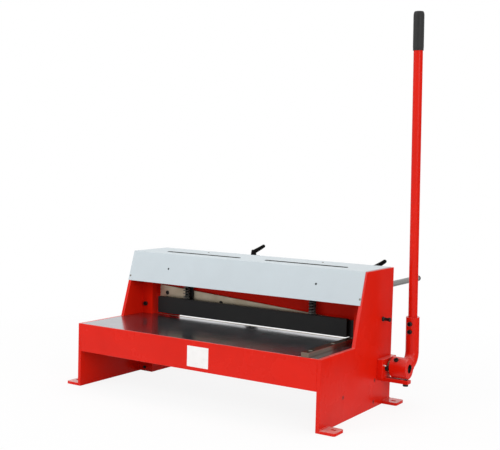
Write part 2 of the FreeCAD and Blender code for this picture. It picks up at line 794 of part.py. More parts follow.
def handle_tube():
    tube = handle_tube_solid(TUBE_R, TUBE_FOOT, TUBE_TOP)
    tube = tube.cut(handle_tube_solid(TUBE_R - TUBE_WALL, TUBE_FOOT - 5, TUBE_TOP + 5))
    for seat in socket_screw_seats():
        tube = tube.cut(screw_hole(seat, Y_AXIS, 12, 20))
    return tube


def handle_grip():
    """Closed rubber grip with a rounded crown, pushed over the tube."""
    length = (GRIP_Z[1] - GRIP_Z[0]) / math.cos(LEAN_ANGLE)
    grip = bar_z(0, length, 0, 0, GRIP_R)
    crown = [edge for edge in grip.Edges if edge.BoundBox.ZMin > length - 1]
    grip = grip.makeFillet(12, crown)
    rim = [edge for edge in grip.Edges if edge.BoundBox.ZMax < 1]
    grip = grip.makeFillet(1.5, rim)
    grip = on_handle(grip)
    grip.translate(V(SOCKET_X, handle_y(GRIP_Z[0]), GRIP_Z[0]))
    return grip.cut(handle_tube_solid(TUBE_R, GRIP_Z[0] - 10, TUBE_TOP))


def ram_beam():
    """Ram plate with a raked lower edge and a leg at each end."""
    leg_x = RAM_HALF - RAM_LEG_W
    offset = RAM_EDGE_ABOVE_BLADE - BLADE_H / 2
    outline = [(-RAM_HALF, RAM_TOP), (RAM_HALF, RAM_TOP), (RAM_HALF, RAM_LEG_BOTTOM),
               (leg_x, RAM_LEG_BOTTOM), (leg_x, blade_mid(leg_x) + offset),
               (-leg_x, blade_mid(-leg_x) + offset), (-leg_x, RAM_LEG_BOTTOM),
               (-RAM_HALF, RAM_LEG_BOTTOM)]
    ram = prism_y(outline, RAM_Y, RAM_REAR_Y)
    for seat in upper_blade_seats():
        ram = ram.cut(screw_hole(seat, Y_AXIS, 10, 30))
    for x in (-ROD_X, ROD_X):
        ram = ram.cut(bar_y(RAM_Y - 1, RAM_REAR_Y + 1, x, ROD_Z, ROD_R))
    return ram


def upper_blade_seats():
    return [V(x, SHEAR_Y + 0.5, blade_mid(x) - BLADE_SCREW_DROP) for x in BLADE_SCREW_X]


def upper_blade():
    """Raked blade, lowest at its right end."""
    half = BLADE_H / 2
    outline = [(-BLADE_HALF, blade_mid(-BLADE_HALF) - half),
               (BLADE_HALF, blade_mid(BLADE_HALF) - half),
               (BLADE_HALF, blade_mid(BLADE_HALF) + half),
               (-BLADE_HALF, blade_mid(-BLADE_HALF) + half)]
    blade = prism_y(outline, SHEAR_Y, RAM_Y)
    for seat in upper_blade_seats():
        blade = blade.cut(countersunk(seat, Y_AXIS, 10, 30, 0.1))
        blade = blade.cut(bar_y(seat.y - 2, seat.y, seat.x, seat.z, 10.1))
    return blade


def upper_blade_screws():
    return group([countersunk(seat, Y_AXIS, 10, 30) for seat in upper_blade_seats()])


def yoke_right():
    """Slotted block behind the ram's leg that the drive pin pushes down."""
    body = block(YOKE_X[0], YOKE_X[1], RAM_REAR_Y, YOKE_REAR_Y, YOKE_Z[0], YOKE_Z[1])
    half = PIN_R + PIN_SLACK
    slot = block(YOKE_X[0] - 1, YOKE_X[1] + 1, RAM_REAR_Y - 1, YOKE_SLOT_END_Y,
                 PIN_Z - half, PIN_Z + half)
    return body.cut(slot)


def spring_bracket_right():
    """Angle on the ram that the spring pushes against."""
    x0, x1 = BRACKET_X
    top = SPRING_TOP + BRACKET_T
    leg = block(x0, x1, RAM_Y - BRACKET_T, RAM_Y, BRACKET_LEG_BOTTOM, top)
    shelf = block(x0, x1, BRACKET_FRONT_Y, RAM_Y, SPRING_TOP, top)
    bracket = leg.fuse(shelf).removeSplitter()
    bracket = bracket.cut(block(GUIDE_X[0] - 0.5, GUIDE_X[1] + 0.5, GUIDE_Y - 0.5,
                                HOLD_LUG_Y[1] + 0.5, SPRING_TOP - 1, top + 1))
    hole_r = SPRING_BOLT_D / 2 + 0.5
    return bracket.cut(bar_z(SPRING_TOP - 1, top + 1, SPRING_X, SPRING_Y, hole_r))


def arc_through_apex(start, apex, end):
    """Arc that touches start-apex and apex-end, both the same length."""
    half_chord = (end - start) * 0.5
    middle = start + half_chord
    rise = apex - middle
    angle = math.atan2(rise.Length, half_chord.Length)
    crown = middle + rise.normalize() * (half_chord.Length * math.tan(angle / 2))
    return Part.Arc(start, crown, end).toShape()


def helix_point(angle, climb, radius):
    """Point and direction of a right-handed helix about Z."""
    point = V(radius * math.cos(angle), radius * math.sin(angle), climb * angle)
    tangent = V(-radius * math.sin(angle), radius * math.cos(angle), climb)
    return point, tangent.normalize()


def spring_wire(length):
    """Coil's centre line: two arcs to each quarter turn, short straight ends."""
    climb = (length - 2 * SPRING_END) / (2 * math.pi * SPRING_TURNS)
    edges = []
    steps = SPRING_TURNS * 4
    first, heading = helix_point(0, climb, SPRING_R)
    edges.append(Part.makeLine(first - heading * WIRE, first))
    for step in range(steps):
        p0, t0 = helix_point(step * math.pi / 2, climb, SPRING_R)
        p1, t1 = helix_point((step + 1) * math.pi / 2, climb, SPRING_R)
        chord = p1 - p0
        bend = 2 * (1 - t0.dot(t1))
        along = chord.dot(t0 + t1)
        reach = (math.sqrt(along ** 2 + bend * chord.dot(chord)) - along) / bend
        apex0 = p0 + t0 * reach
        apex1 = p1 - t1 * reach
        joint = (apex0 + apex1) * 0.5
        edges.append(arc_through_apex(p0, apex0, joint))
        edges.append(arc_through_apex(joint, apex1, p1))
    last, heading = helix_point(steps * math.pi / 2, climb, SPRING_R)
    edges.append(Part.makeLine(last, last + heading * WIRE))
    return Part.Wire(edges)


def least_gap(path):
    """Smallest space between one turn and the next, measured on points."""
    points = path.discretize(Number=SPRING_TURNS * 24)
    least = 1e9
    for index, point in enumerate(points):
        for other in points[index + 12:index + 40]:
            least = min(least, (other - point).Length)
    return least - WIRE


def coil_spring():
    """Compression spring about Z, from 0 to its full length."""
    length = SPRING_TOP - HOLD_TOP - SPRING_SEAT_T
    path = spring_wire(length)
    print("spring: least gap to itself %.2f mm" % least_gap(path))
    start = path.Vertexes[0].Point
    ring = Part.Wire(Part.makeCircle(WIRE / 2, start, path.Edges[0].tangentAt(0)))
    coil = path.makePipeShell([ring], True, False)
    coil.translate(V(0, 0, SPRING_END))
    print("spring: volume over wire section times length %.4f"
          % (coil.Volume / (math.pi * WIRE ** 2 / 4 * path.Length)))
    return coil


def spring(sign, coil):
    placed = coil.copy()
    x = sign * SPRING_X + SPRING_MIDDLE_X
    placed.translate(V(x, SPRING_Y, HOLD_TOP + SPRING_SEAT_T))
    return placed


def beside_spring(shape):
    """The springs' middle is a little left of the machine's own."""
    placed = shape.copy()
    placed.translate(V(SPRING_MIDDLE_X, 0, 0))
    return placed


def gauge_rod(sign):
    return bar_y(RAM_Y, ROD_END, sign * ROD_X, ROD_Z, ROD_R)


def rod_cap(sign):
    """Domed plastic cap on a rod's end."""
    cap = bar_y(ROD_END, ROD_END + ROD_CAP_L, sign * ROD_X, ROD_Z, ROD_R)
    rim = [edge for edge in cap.Edges if edge.BoundBox.YMin > ROD_END + 1]
    return cap.makeFillet(6, rim)


def hold_down_bar():
    """Bar that clamps the sheet in front of the blades."""
    bar = block(-HOLD_HALF, HOLD_HALF, HOLD_Y, HOLD_Y + HOLD_T, HOLD_BOTTOM, HOLD_TOP)
    bar = eased(bar)
    for sign in (-1, 1):
        x = sign * SPRING_X + SPRING_MIDDLE_X
        bar = bar.cut(bar_z(HOLD_TOP - 16, HOLD_TOP + 1, x, SPRING_Y, SPRING_BOLT_D / 2))
    return bar


def hold_down_guide_right():
    """Flat bar behind the hold-down that runs in the bracket's slot."""
    x0, x1 = GUIDE_X
    y0, y1 = HOLD_LUG_Y
    foot = block(x0, x1, y0, y1, HOLD_GUIDE_Z[0], HOLD_TOP)
    blade = block(x0, x1, GUIDE_Y, y1, HOLD_GUIDE_Z[0], HOLD_GUIDE_Z[1])
    return foot.fuse(blade).removeSplitter()


def hold_down_lug(ends):
    """Lug behind the hold-down's end. The right one runs beside the keeper."""
    return eased(block(ends[0], ends[1], HOLD_LUG_Y[0], HOLD_LUG_Y[1],
                       HOLD_BOTTOM, HOLD_LUG_TOP))


def spring_bolt(sign):
    """Stud through the spring, with the spring's seat and the nut on the bracket."""
    x = sign * SPRING_X + SPRING_MIDDLE_X
    stud = bar_z(HOLD_TOP - 15, SPRING_BOLT_TOP, x, SPRING_Y, SPRING_BOLT_D / 2)
    seat = bar_z(HOLD_TOP, HOLD_TOP + SPRING_SEAT_T, x, SPRING_Y, SPRING_SEAT_R)
    nut_z = SPRING_TOP + BRACKET_T + 0.3
    corners = []
    for step in range(6):
        angle = math.radians(60 * step)
        spoke = V(math.cos(angle), math.sin(angle), 0) * SPRING_NUT_R
        corners.append(V(x, SPRING_Y, nut_z) + spoke)
    nut = Part.Face(Part.makePolygon(corners + corners[:1])).extrude(V(0, 0, SPRING_NUT_H))
    return stud.fuse([seat, nut])


def back_stop(side):
    """Block that slides on a rod, with the plate that the sheet butts against."""
    x, y = STOPS[side][:2]
    body = block(x - STOP_HALF_X, x + STOP_HALF_X, y - STOP_HALF_Y, y + STOP_HALF_Y,
                 STOP_BLOCK_Z[0], STOP_BLOCK_Z[1])
    body = eased(body)
    front = y - STOP_HALF_Y
    inwards = -math.copysign(1, x)
    edges = sorted((x + inwards * STOP_PLATE_IN, x - inwards * STOP_PLATE_OUT))
    plate = block(edges[0], edges[1], front - STOP_PLATE_T, front, STOP_PLATE_BOTTOM,
                  STOP_BLOCK_Z[0] + 48)
    stop = body.fuse(plate)
    bore = bar_y(front - 20, y + STOP_HALF_Y + 1, x, ROD_Z, ROD_R + RUNNING_FIT)
    stop = stop.cut(bore)
    return stop.cut(bar_z(ROD_Z, STOP_BLOCK_Z[1] + 1, x, y, CLAMP_STUD_R + RUNNING_FIT))


def clamp_lever(side):
    """Lever on a stud that clamps a stop on its rod."""
    x, y, turn = STOPS[side]
    hub = Part.makeCone(CLAMP_HUB_R[0], CLAMP_HUB_R[1], CLAMP_TOP_Z - CLAMP_BASE_Z,
                        V(0, 0, CLAMP_BASE_Z), Z_AXIS)
    crown = [edge for edge in hub.Edges if edge.BoundBox.ZMin > CLAMP_TOP_Z - 1]
    hub = hub.makeFillet(4, crown)
    stud = bar_z(ROD_Z + ROD_R + 0.6, CLAMP_BASE_Z, 0, 0, CLAMP_STUD_R)
    reach = V(CLAMP_ARM_REACH, 0, CLAMP_ARM_RISE)
    root = V(0, 0, CLAMP_ARM_Z)
    arm = Part.makeCone(CLAMP_ARM_R[0], CLAMP_ARM_R[1], reach.Length, root, reach)
    tip = Part.makeSphere(CLAMP_ARM_R[1], root + reach)
    lever = hub.fuse([stud, arm, tip])
    lever.rotate(V(0, 0, 0), Z_AXIS, turn)
    lever.translate(V(x, y, 0))
    return lever


def pieces():
    """Every node's name with its shape."""
    column = guide_column_right()
    bearing = bearing_block_right()
    crank = crank_right()
    yoke = yoke_right()
    bracket = spring_bracket_right()
    coil = coil_spring()
    made = {
        "side_plate_left": side_plate("left"),
        "side_plate_right": side_plate("right"),
        "apron": apron(),
        "table_plate": table_plate(),
        "table_beam": table_beam(),
        "rear_tie": rear_tie(),
        "rear_flanges": both_sides(rear_flange_right()),
        "top_tie": top_tie(),
        "front_feet": feet(-1),
        "rear_feet": feet(1),
        "lower_blade": lower_blade(),
        "lower_blade_screws": lower_blade_screws(),
        "guide_column_left": mirrored(column),
        "guide_column_right": column,
        "guide_keepers": both_sides(guide_keeper_right()),
        "gib_strips": both_sides(gib_strip_right()),
        "keeper_bolts": keeper_bolts(),
        "countersunk_screws": countersunk_screws(),
        "cover": cover(),
        "cover_screws": cover_screws(),
        "cover_plugs": cover_plugs(),
        "slot_edging": group([slot_edging(ends) for ends in COVER_SLOTS]),
        "label_plate": label_plate(),
        "bearing_block_left": mirrored(bearing),
        "bearing_block_right": bearing,
        "bearing_bushes": both_sides(bearing_bush_right()),
        "cap_screws": cap_screws(),
        "grease_nipples": both_sides(grease_nipple()),
        "stop_bar": stop_bar(),
        "side_stud": side_stud(),
        "side_fence": side_fence(),
        "drive_shaft": drive_shaft(),
        "crank_left": mirrored(crank),
        "crank_right": crank,
        "crank_pins": both_sides(crank_pin_right()),
        "shaft_collar": shaft_collar(),
        "lever_arm": lever_arm(),
        "lever_screws": lever_screws(),
        "handle_tube": handle_tube(),
        "handle_grip": handle_grip(),
        "ram_beam": ram_beam(),
        "upper_blade": upper_blade(),
        "upper_blade_screws": upper_blade_screws(),
        "yoke_left": mirrored(yoke),
        "yoke_right": yoke,
        "spring_bracket_left": beside_spring(mirrored(bracket)),
        "spring_bracket_right": beside_spring(bracket),
        "spring_left": spring(-1, coil),
        "spring_right": spring(1, coil),
        "gauge_rod_left": gauge_rod(-1),
        "gauge_rod_right": gauge_rod(1),
        "rod_caps": group([rod_cap(-1), rod_cap(1)]),
        "hold_down_bar": hold_down_bar(),
        "hold_down_guides": beside_spring(both_sides(hold_down_guide_right())),
        "hold_down_lugs": group([hold_down_lug(ends) for ends in HOLD_LUG_X]),
        "spring_bolts": group([spring_bolt(-1), spring_bolt(1)]),
    }
    for side in ("left", "right"):
        made["back_stop_" + side] = back_stop(side)
        made["clamp_lever_" + side] = clamp_lever(side)
    return made


os.makedirs("parts", exist_ok=True)
for name, shape in pieces().items():
    if not shape.isValid():
        print("not valid:", name)
    shape.exportStep("parts/%s.step" % name)
    print(name, len(shape.Solids))
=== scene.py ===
import json
import math

import bmesh
import bpy
import numpy as np
from mathutils import Matrix, Vector


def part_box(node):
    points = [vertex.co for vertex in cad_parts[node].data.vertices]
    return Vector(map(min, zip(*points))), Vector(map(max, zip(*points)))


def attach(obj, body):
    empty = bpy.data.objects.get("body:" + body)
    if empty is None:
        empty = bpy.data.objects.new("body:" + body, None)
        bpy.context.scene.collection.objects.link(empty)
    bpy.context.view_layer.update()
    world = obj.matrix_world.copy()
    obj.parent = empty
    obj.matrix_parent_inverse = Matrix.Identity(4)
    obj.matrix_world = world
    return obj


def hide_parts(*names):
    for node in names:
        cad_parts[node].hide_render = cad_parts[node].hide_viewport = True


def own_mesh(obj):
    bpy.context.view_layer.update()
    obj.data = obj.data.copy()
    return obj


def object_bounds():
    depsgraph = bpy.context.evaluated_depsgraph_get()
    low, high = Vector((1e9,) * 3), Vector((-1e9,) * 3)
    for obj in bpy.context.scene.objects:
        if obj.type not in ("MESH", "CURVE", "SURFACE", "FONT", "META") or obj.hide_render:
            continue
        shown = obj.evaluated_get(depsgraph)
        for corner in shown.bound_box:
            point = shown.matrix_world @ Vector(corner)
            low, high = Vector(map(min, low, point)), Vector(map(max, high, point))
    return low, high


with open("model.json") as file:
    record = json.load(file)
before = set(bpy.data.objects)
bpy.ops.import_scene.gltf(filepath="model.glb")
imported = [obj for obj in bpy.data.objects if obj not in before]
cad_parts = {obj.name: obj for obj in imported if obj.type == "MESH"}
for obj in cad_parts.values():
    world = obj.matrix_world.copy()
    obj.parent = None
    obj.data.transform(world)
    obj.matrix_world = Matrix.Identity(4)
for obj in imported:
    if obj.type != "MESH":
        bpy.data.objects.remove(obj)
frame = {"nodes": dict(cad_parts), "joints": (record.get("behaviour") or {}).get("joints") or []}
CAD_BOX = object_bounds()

bl_info = {
    "name": "Guillotine Shear Finish",
    "version": (1, 0, 0),
    "blender": (4, 5, 0),
    "location": "3D View > Sidebar > Shear",
    "description": "Finishes and fine pieces of a hand-lever guillotine shear",
    "category": "Object",
}

SMOOTH_ANGLE = math.radians(32)
X_AXIS = np.array([1.0, 0.0, 0.0])
Y_AXIS = np.array([0.0, 1.0, 0.0])
Z_AXIS = np.array([0.0, 0.0, 1.0])

# The photograph's viewpoint, in metres and degrees, and its focal length in pixels
CAMERA_AT = (2.1351, -3.2263, 0.9589)
CAMERA_AZIMUTH = 32.583
CAMERA_DOWN = 3.488
CAMERA_ROLL = 1.507
FOCAL_PIXELS = 912.64
PHOTO_WIDTH = 500
SENSOR_WIDTH = 36.0

# The floor: its half side and drop below the object in metres, and how white the camera
# sees it, from FLOOR_WHITE at the first distance to plain white at the second
FLOOR_HALF = 60.0
FLOOR_DROP = 0.0005
FLOOR_WHITE = 0.89
FLOOR_FADE = (0.7, 2.4)

# Each lamp's name, place, side in metres and power in watts, and the point they all face
LAMPS = (("key lamp", (-2.6, -4.2, 3.4), 2.6, 106.0),
         ("fill lamp", (7.4, -4.0, 2.9), 4.2, 213.0),
         ("top lamp", (0.3, 0.6, 4.2), 3.0, 62.0))
LAMP_TARGET = np.array([0.0, 0.0, 0.35])

# Sizes of the fine pieces, in metres, the handle's lean as a slope, and the springs' turns
HANDLE_LEAN = 0.043
HUB_RADIUS = 0.0435
BORE_RADIUS = 0.0184
SOCKET_RADIUS = 0.028
SOCKET_TOWARDS_HUB = (0.0, -0.979, -0.2049)
SPRING_MIDDLE_RADIUS = 0.014
SPRING_WIRE = 0.0045
SPRING_TURNS = 13.0
STUD_RADIUS = 0.006
STUD_PITCH = 0.00175
NUT_CORNER_RADIUS = 0.0109
NUT_HEIGHT = 0.010
SEAT_THICKNESS = 0.0025
NUT_GAP = 0.0003
BEAD_RIPPLE = 0.0034
GRIP_TRIM = 0.0006
LABEL_CORNER = 0.0015
LABEL_EDGE = 0.0003

# Clamping lever, with the arm's start, bend and tip as heights above the hub's foot and
# reaches outward
CLAMP_HUB_FOOT = 0.0614
CLAMP_HUB_HEIGHT = 0.028
CLAMP_STUD_RADIUS = 0.005
CLAMP_STUD_PITCH = 0.0015
CLAMP_STUD_IN_HUB = 0.004
CLAMP_ROOT_RADIUS = 0.0112
CLAMP_TIP_RADIUS = 0.0085
CLAMP_ARM = ((0.017, 0.0), (0.032, 0.030), (0.051, 0.060))

# Head height and shank radius of the cap screws, the head radius that a keeper's has and a
# shoe's hasn't, and the height that only the stop bar's reaches
KEEPER_SCREW = (0.010, 0.006)
SHOE_SCREW = (0.006, 0.004)
BLOCK_SCREW = (0.012, 0.006)
STOP_SCREW = (0.0095, 0.007)
KEEPER_SCREW_FROM = 0.008
STOP_SCREW_FROM = 0.024

# How far a weld bead stays from the apron's foot, the table's rear and a tie's two edges
APRON_WELD_LIFT = 0.004
TABLE_WELD_STOP = 0.03
TIE_WELD_STOPS = (0.002, 0.003)

# Along X: screws with a greater X are painted, and past this distance the shaft is painted black
# as shade
FENCE_SCREW_LIMIT = 0.560
SHAFT_SHADE_FROM = 0.640


def tone(red, green, blue):
    """Linear colour of an 8-bit screen colour."""
    value = np.array([red, green, blue]) / 255.0
    linear = np.where(value <= 0.04045, value / 12.92, ((value + 0.055) / 1.055) ** 2.4)
    return tuple(float(v) for v in linear)


def box(node):
    """Lowest and highest corner of a CAD node as arrays."""
    low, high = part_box(node)
    return np.array(low), np.array(high)


def settings():
    """The finish's colours and small sizes, as the panel shows them."""
    return bpy.context.scene.shear_finish


# Shader nodes

def fill(tree, node, values):
    """Each named input of a node linked to its socket, or set to its value."""
    for key, value in values.items():
        if isinstance(value, bpy.types.NodeSocket):
            tree.links.new(value, node.inputs[key])
        else:
            node.inputs[key].default_value = value


def add(tree, kind, values=None, **options):
    """A shader node with its options set and its inputs filled."""
    node = tree.nodes.new("ShaderNode" + kind)
    for key, value in options.items():
        setattr(node, key, value)
    fill(tree, node, values or {})
    return node


def maths(tree, operation, *values, clamp=False):
    """The outcome of one operation on numbers or sockets."""
    node = add(tree, "Math", dict(enumerate(values)), operation=operation, use_clamp=clamp)
    return node.outputs[0]


def remap(tree, value, low, high, to_low, to_high):
    """The value's stretch from low to high moved to another stretch, and held there."""
    node = add(tree, "MapRange", {"Value": value, "From Min": low, "From Max": high,
                                  "To Min": to_low, "To Max": to_high})
    return node.outputs["Result"]


def noise(tree, position, size, detail=3.0, roughness=0.5):
    """Soft noise whose features are about size metres across."""
    node = add(tree, "TexNoise", {"Vector": position, "Scale": 1.0 / size,
                                  "Detail": detail, "Roughness": roughness})
    return node.outputs["Fac"]


def along(tree, vector, axis):
    """A vector's part along X, Y or Z."""
    return add(tree, "SeparateXYZ", {0: vector}).outputs[axis]


def facing(tree, axis):
    """The surface normal's part along X, Y or Z."""
    return along(tree, add(tree, "NewGeometry").outputs["Normal"], axis)


def mix(tree, share, first, second):
    """Colour that goes from the first to the second as the share goes from 0 to 1."""
    node = add(tree, "Mix", {0: share, 6: first, 7: second}, data_type="RGBA")
    return node.outputs[2]


def effect(name, inputs, outputs, build):
    """Shader node group shared by several materials, made once."""
    tree = bpy.data.node_groups.get(name)
    if tree:
        return tree
    tree = bpy.data.node_groups.new(name, "ShaderNodeTree")
    for label, kind, default in inputs:
        socket = tree.interface.new_socket(label, in_out="INPUT", socket_type=kind)
        if default is not None:
            socket.default_value = default
    for label, kind in outputs:
        tree.interface.new_socket(label, in_out="OUTPUT", socket_type=kind)
    entry = tree.nodes.new("NodeGroupInput")
    results = build(tree, entry.outputs)
    leave = tree.nodes.new("NodeGroupOutput")
    fill(tree, leave, results)
    return tree


def place(tree, group, values):
    """The outputs of a group node in a material, its inputs filled."""
    node = tree.nodes.new("ShaderNodeGroup")
    node.node_tree = group
    fill(tree, node, values)
    return node.outputs


# Masks that several finishes share

def paint_film():
    """Orange peel, slow changes of shade and fine nibs of a sprayed coat."""
    def build(tree, given):
        position = given["Position"]
        peel = add(tree, "TexNoise", {"Vector": position, "Scale": given["Peel Per Metre"],
                                      "Detail": 1.0}).outputs["Fac"]
        shade = noise(tree, position, 0.35, 2.0)
        cloud = noise(tree, position, 0.06, 4.0)
        both = maths(tree, "MULTIPLY_ADD", cloud, 0.35, maths(tree, "MULTIPLY", shade, 0.65))
        nib = add(tree, "TexVoronoi", {"Vector": position, "Scale": 140.0}).outputs["Distance"]
        nib = remap(tree, nib, 0.03, 0.10, 1.0, 0.0)
        return {"Peel": maths(tree, "MULTIPLY_ADD", nib, 0.25, peel),
                "Shade": remap(tree, both, 0.35, 0.65, 0.0, 1.0)}
    return effect("Paint Film", [("Position", "NodeSocketVector", None),
                                 ("Peel Per Metre", "NodeSocketFloat", 420.0)],
                  [("Peel", "NodeSocketFloat"), ("Shade", "NodeSocketFloat")], build)


def broken_edge_mask():
    """Mask of the edges, broken up by grit."""
    def build(tree, given):
        bevel = add(tree, "Bevel", {"Radius": given["Width"]}, samples=4)
        normal = add(tree, "NewGeometry").outputs["Normal"]
        likeness = add(tree, "VectorMath", {0: bevel.outputs[0], 1: normal},
                       operation="DOT_PRODUCT").outputs["Value"]
        edge = remap(tree, likeness, 0.80, 0.995, 1.0, 0.0)
        grit = noise(tree, given["Position"], 0.009, 5.0, 0.7)
        rough = remap(tree, grit, given["Cover"], 0.75, 0.0, 1.0)
        return {"Mask": maths(tree, "MULTIPLY", edge, rough, clamp=True)}
    return effect("Broken Edges", [("Position", "NodeSocketVector", None),
                                ("Width", "NodeSocketFloat", 0.0012),
                                ("Cover", "NodeSocketFloat", 0.45)],
                  [("Mask", "NodeSocketFloat")], build)


def dust_and_top_sheen():
    """Mask of faces that look up, thicker in patches: thin dust, which on the red enamel also
    serves as a painted reflection on its tops.
    """
    def build(tree, given):
        up = remap(tree, facing(tree, "Z"), 0.30, 0.95, 0.0, 1.0)
        patch = remap(tree, noise(tree, given["Position"], 0.09, 6.0, 0.65), 0.35, 0.75, 0.5, 1.0)
        amount = maths(tree, "MULTIPLY", given["Amount"], up)
        return {"Mask": maths(tree, "MULTIPLY", amount, patch, clamp=True)}
    return effect("Dust And Top Sheen", [("Position", "NodeSocketVector", None),
                                   ("Amount", "NodeSocketFloat", 0.1)],
                  [("Mask", "NodeSocketFloat")], build)


def ground_lines():
    """Fine parallel scratches of a ground or drawn metal face, and hand marks."""
    def build(tree, given):
        stretched = add(tree, "Mapping", {"Vector": given["Position"], "Scale": given["Density"]})
        lines = add(tree, "TexNoise", {"Vector": stretched.outputs[0], "Scale": 1.0,
                                       "Detail": 4.0, "Roughness": 0.6}).outputs["Fac"]
        smear = noise(tree, given["Position"], 0.12, 5.0, 0.6)
        return {"Lines": remap(tree, lines, 0.3, 0.7, 0.0, 1.0),
                "Smear": remap(tree, smear, 0.38, 0.66, 0.0, 1.0)}
    return effect("Ground Lines", [("Position", "NodeSocketVector", None),
                                   ("Density", "NodeSocketVector", (20.0, 900.0, 900.0))],
                  [("Lines", "NodeSocketFloat"), ("Smear", "NodeSocketFloat")], build)


def material(name, build, **constants):
    """Material made once: build links the varying inputs of its shader."""
    found = bpy.data.materials.get(name)
    if found:
        return found
    made = bpy.data.materials.new(name)
    made.use_nodes = True
    tree = made.node_tree
    shader = tree.nodes["Principled BSDF"]
    for key, value in constants.items():
        shader.inputs[key.replace("_", " ")].default_value = value
    position = add(tree, "TexCoord").outputs["Object"]
    fill(tree, shader, build(tree, position))
    return made


def bump(tree, height, depth, strength):
    """Normal of a surface whose height is raised by up to the depth, in metres."""
    node = add(tree, "Bump", {"Height": height, "Distance": depth, "Strength": strength})
    return node.outputs[0]


def colour(values):
    """Shader colour of three linear values."""
    return (*values, 1.0)


def screen(red, green, blue):
    """Shader colour of an 8-bit screen colour."""
    return colour(tone(red, green, blue))


def deeper(base, share):
    """Shader colour with a share of the base's brightness."""
    return colour(tuple(c * share for c in base))


# Finishes

def near_shaft(tree, position, radius):
    """One within a radius of the drive shaft's axis, nought outside."""
    low, high = box("drive_shaft")
    middle = (low + high) / 2
    offset = add(tree, "VectorMath", {0: position, 1: tuple(middle)}, operation="SUBTRACT")
    flat = add(tree, "VectorMath", {0: offset.outputs[0], 1: (0, 1, 1)}, operation="MULTIPLY")
    away = add(tree, "VectorMath", {0: flat.outputs[0]}, operation="LENGTH").outputs["Value"]
    return remap(tree, away, radius, radius + 0.0002, 1.0, 0.0)


def red_enamel(name="red enamel", bored=False, dust_and_sheen=0.22, polish=0.14):
    """Glossy red enamel, which shines most on faces to the front and on tops, with painted
    highlights on its edges and a pale top layer, partly dust and partly painted reflection. A
    bored piece has painted shade, near black, inside its shaft's bore."""
    base = settings().red

    def build(tree, position):
        film = place(tree, paint_film(), {"Position": position, "Peel Per Metre": 330.0})
        edge_band = place(tree, broken_edge_mask(), {"Position": position, "Width": 0.0016, "Cover": 0.42})
        dust = place(tree, dust_and_top_sheen(), {"Position": position, "Amount": dust_and_sheen})
        paint = mix(tree, film["Shade"], deeper(base, 0.90), colour(base))
        # Painted highlight: edges turn a lighter red
        paint = mix(tree, maths(tree, "MULTIPLY", edge_band["Mask"], 0.30), paint,
                    screen(240, 84, 66))
        # Pale layer on faces that look up: thin dust, and also a painted reflection on the tops
        paint = mix(tree, dust["Mask"], paint, screen(214, 190, 184))
        # Painted shade: the bore's wall near black
        if bored:
            paint = mix(tree, near_shaft(tree, position, BORE_RADIUS), paint, screen(20, 19, 19))
        rough = remap(tree, film["Shade"], 0.0, 1.0, 0.20, 0.30)
        height = along(tree, position, "Z")
        rubbed = noise(tree, position, 0.22, 4.0)
        gloss = maths(tree, "MULTIPLY", remap(tree, height, 0.04, 0.26, 1.0, 0.22),
                      remap(tree, rubbed, 0.35, 0.65, 0.6, 1.4))
        ahead = remap(tree, facing(tree, "Y"), -0.85, -0.25, 1.0, 0.0)
        upward = remap(tree, facing(tree, "Z"), 0.60, 0.95, 0.0, 1.0)
        polished = maths(tree, "MAXIMUM", maths(tree, "MULTIPLY", ahead, polish),
                         maths(tree, "MULTIPLY", upward, 0.45))
        return {"Base Color": paint, "Roughness": rough,
                "Specular IOR Level": maths(tree, "MULTIPLY_ADD", gloss, 0.045, polished),
                "Normal": bump(tree, film["Peel"], 0.00025, 0.25)}
    return material(name, build)


def cover_coat():
    """Satin powder coat with thin dust on its tops and a painted highlight along its bends."""
    base = settings().cover

    def build(tree, position):
        film = place(tree, paint_film(), {"Position": position, "Peel Per Metre": 900.0})
        dust = place(tree, dust_and_top_sheen(), {"Position": position, "Amount": 0.10})
        edge_band = place(tree, broken_edge_mask(), {"Position": position, "Width": 0.0014, "Cover": 0.40})
        paint = mix(tree, film["Shade"], deeper(base, 0.94), colour(base))
        # Painted highlight: bends turn a lighter grey
        paint = mix(tree, maths(tree, "MULTIPLY", edge_band["Mask"], 0.5), paint,
                    screen(232, 237, 240))
        paint = mix(tree, dust["Mask"], paint, screen(224, 226, 222))
        rough = remap(tree, film["Shade"], 0.0, 1.0, 0.42, 0.52)
        return {"Base Color": paint, "Roughness": rough,
                "Normal": bump(tree, film["Peel"], 0.00012, 0.45)}
    return material("cover powder coat", build, Specular_IOR_Level=0.30)


def table_steel():
    """Dark oiled table top: fine grinding lines under a glossy film, with faint stains."""
    base = settings().table

    def build(tree, position):
        marks = place(tree, ground_lines(), {"Position": position,
                                             "Density": (9.0, 700.0, 700.0)})
        film = noise(tree, position, 0.28, 3.0)
        spots = remap(tree, noise(tree, position, 0.018, 6.0, 0.7), 0.60, 0.78, 0.0, 1.0)
        metal = mix(tree, marks["Lines"], deeper(base, 0.82), colour(base))
        metal = mix(tree, maths(tree, "MULTIPLY", spots, 0.30), metal, deeper(base, 0.55))
        edge_band = place(tree, broken_edge_mask(), {"Position": position, "Width": 0.0024, "Cover": 0.34})
        metal = mix(tree, edge_band["Mask"], metal, screen(176, 174, 172))
        rough = maths(tree, "MULTIPLY_ADD", marks["Smear"], 0.06,
                      remap(tree, film, 0.35, 0.7, 0.13, 0.18))
        return {"Base Color": metal, "Roughness": rough,
                "Normal": bump(tree, marks["Lines"], 0.00003, 0.12)}
    return material("oiled table top", build, Metallic=0.955)


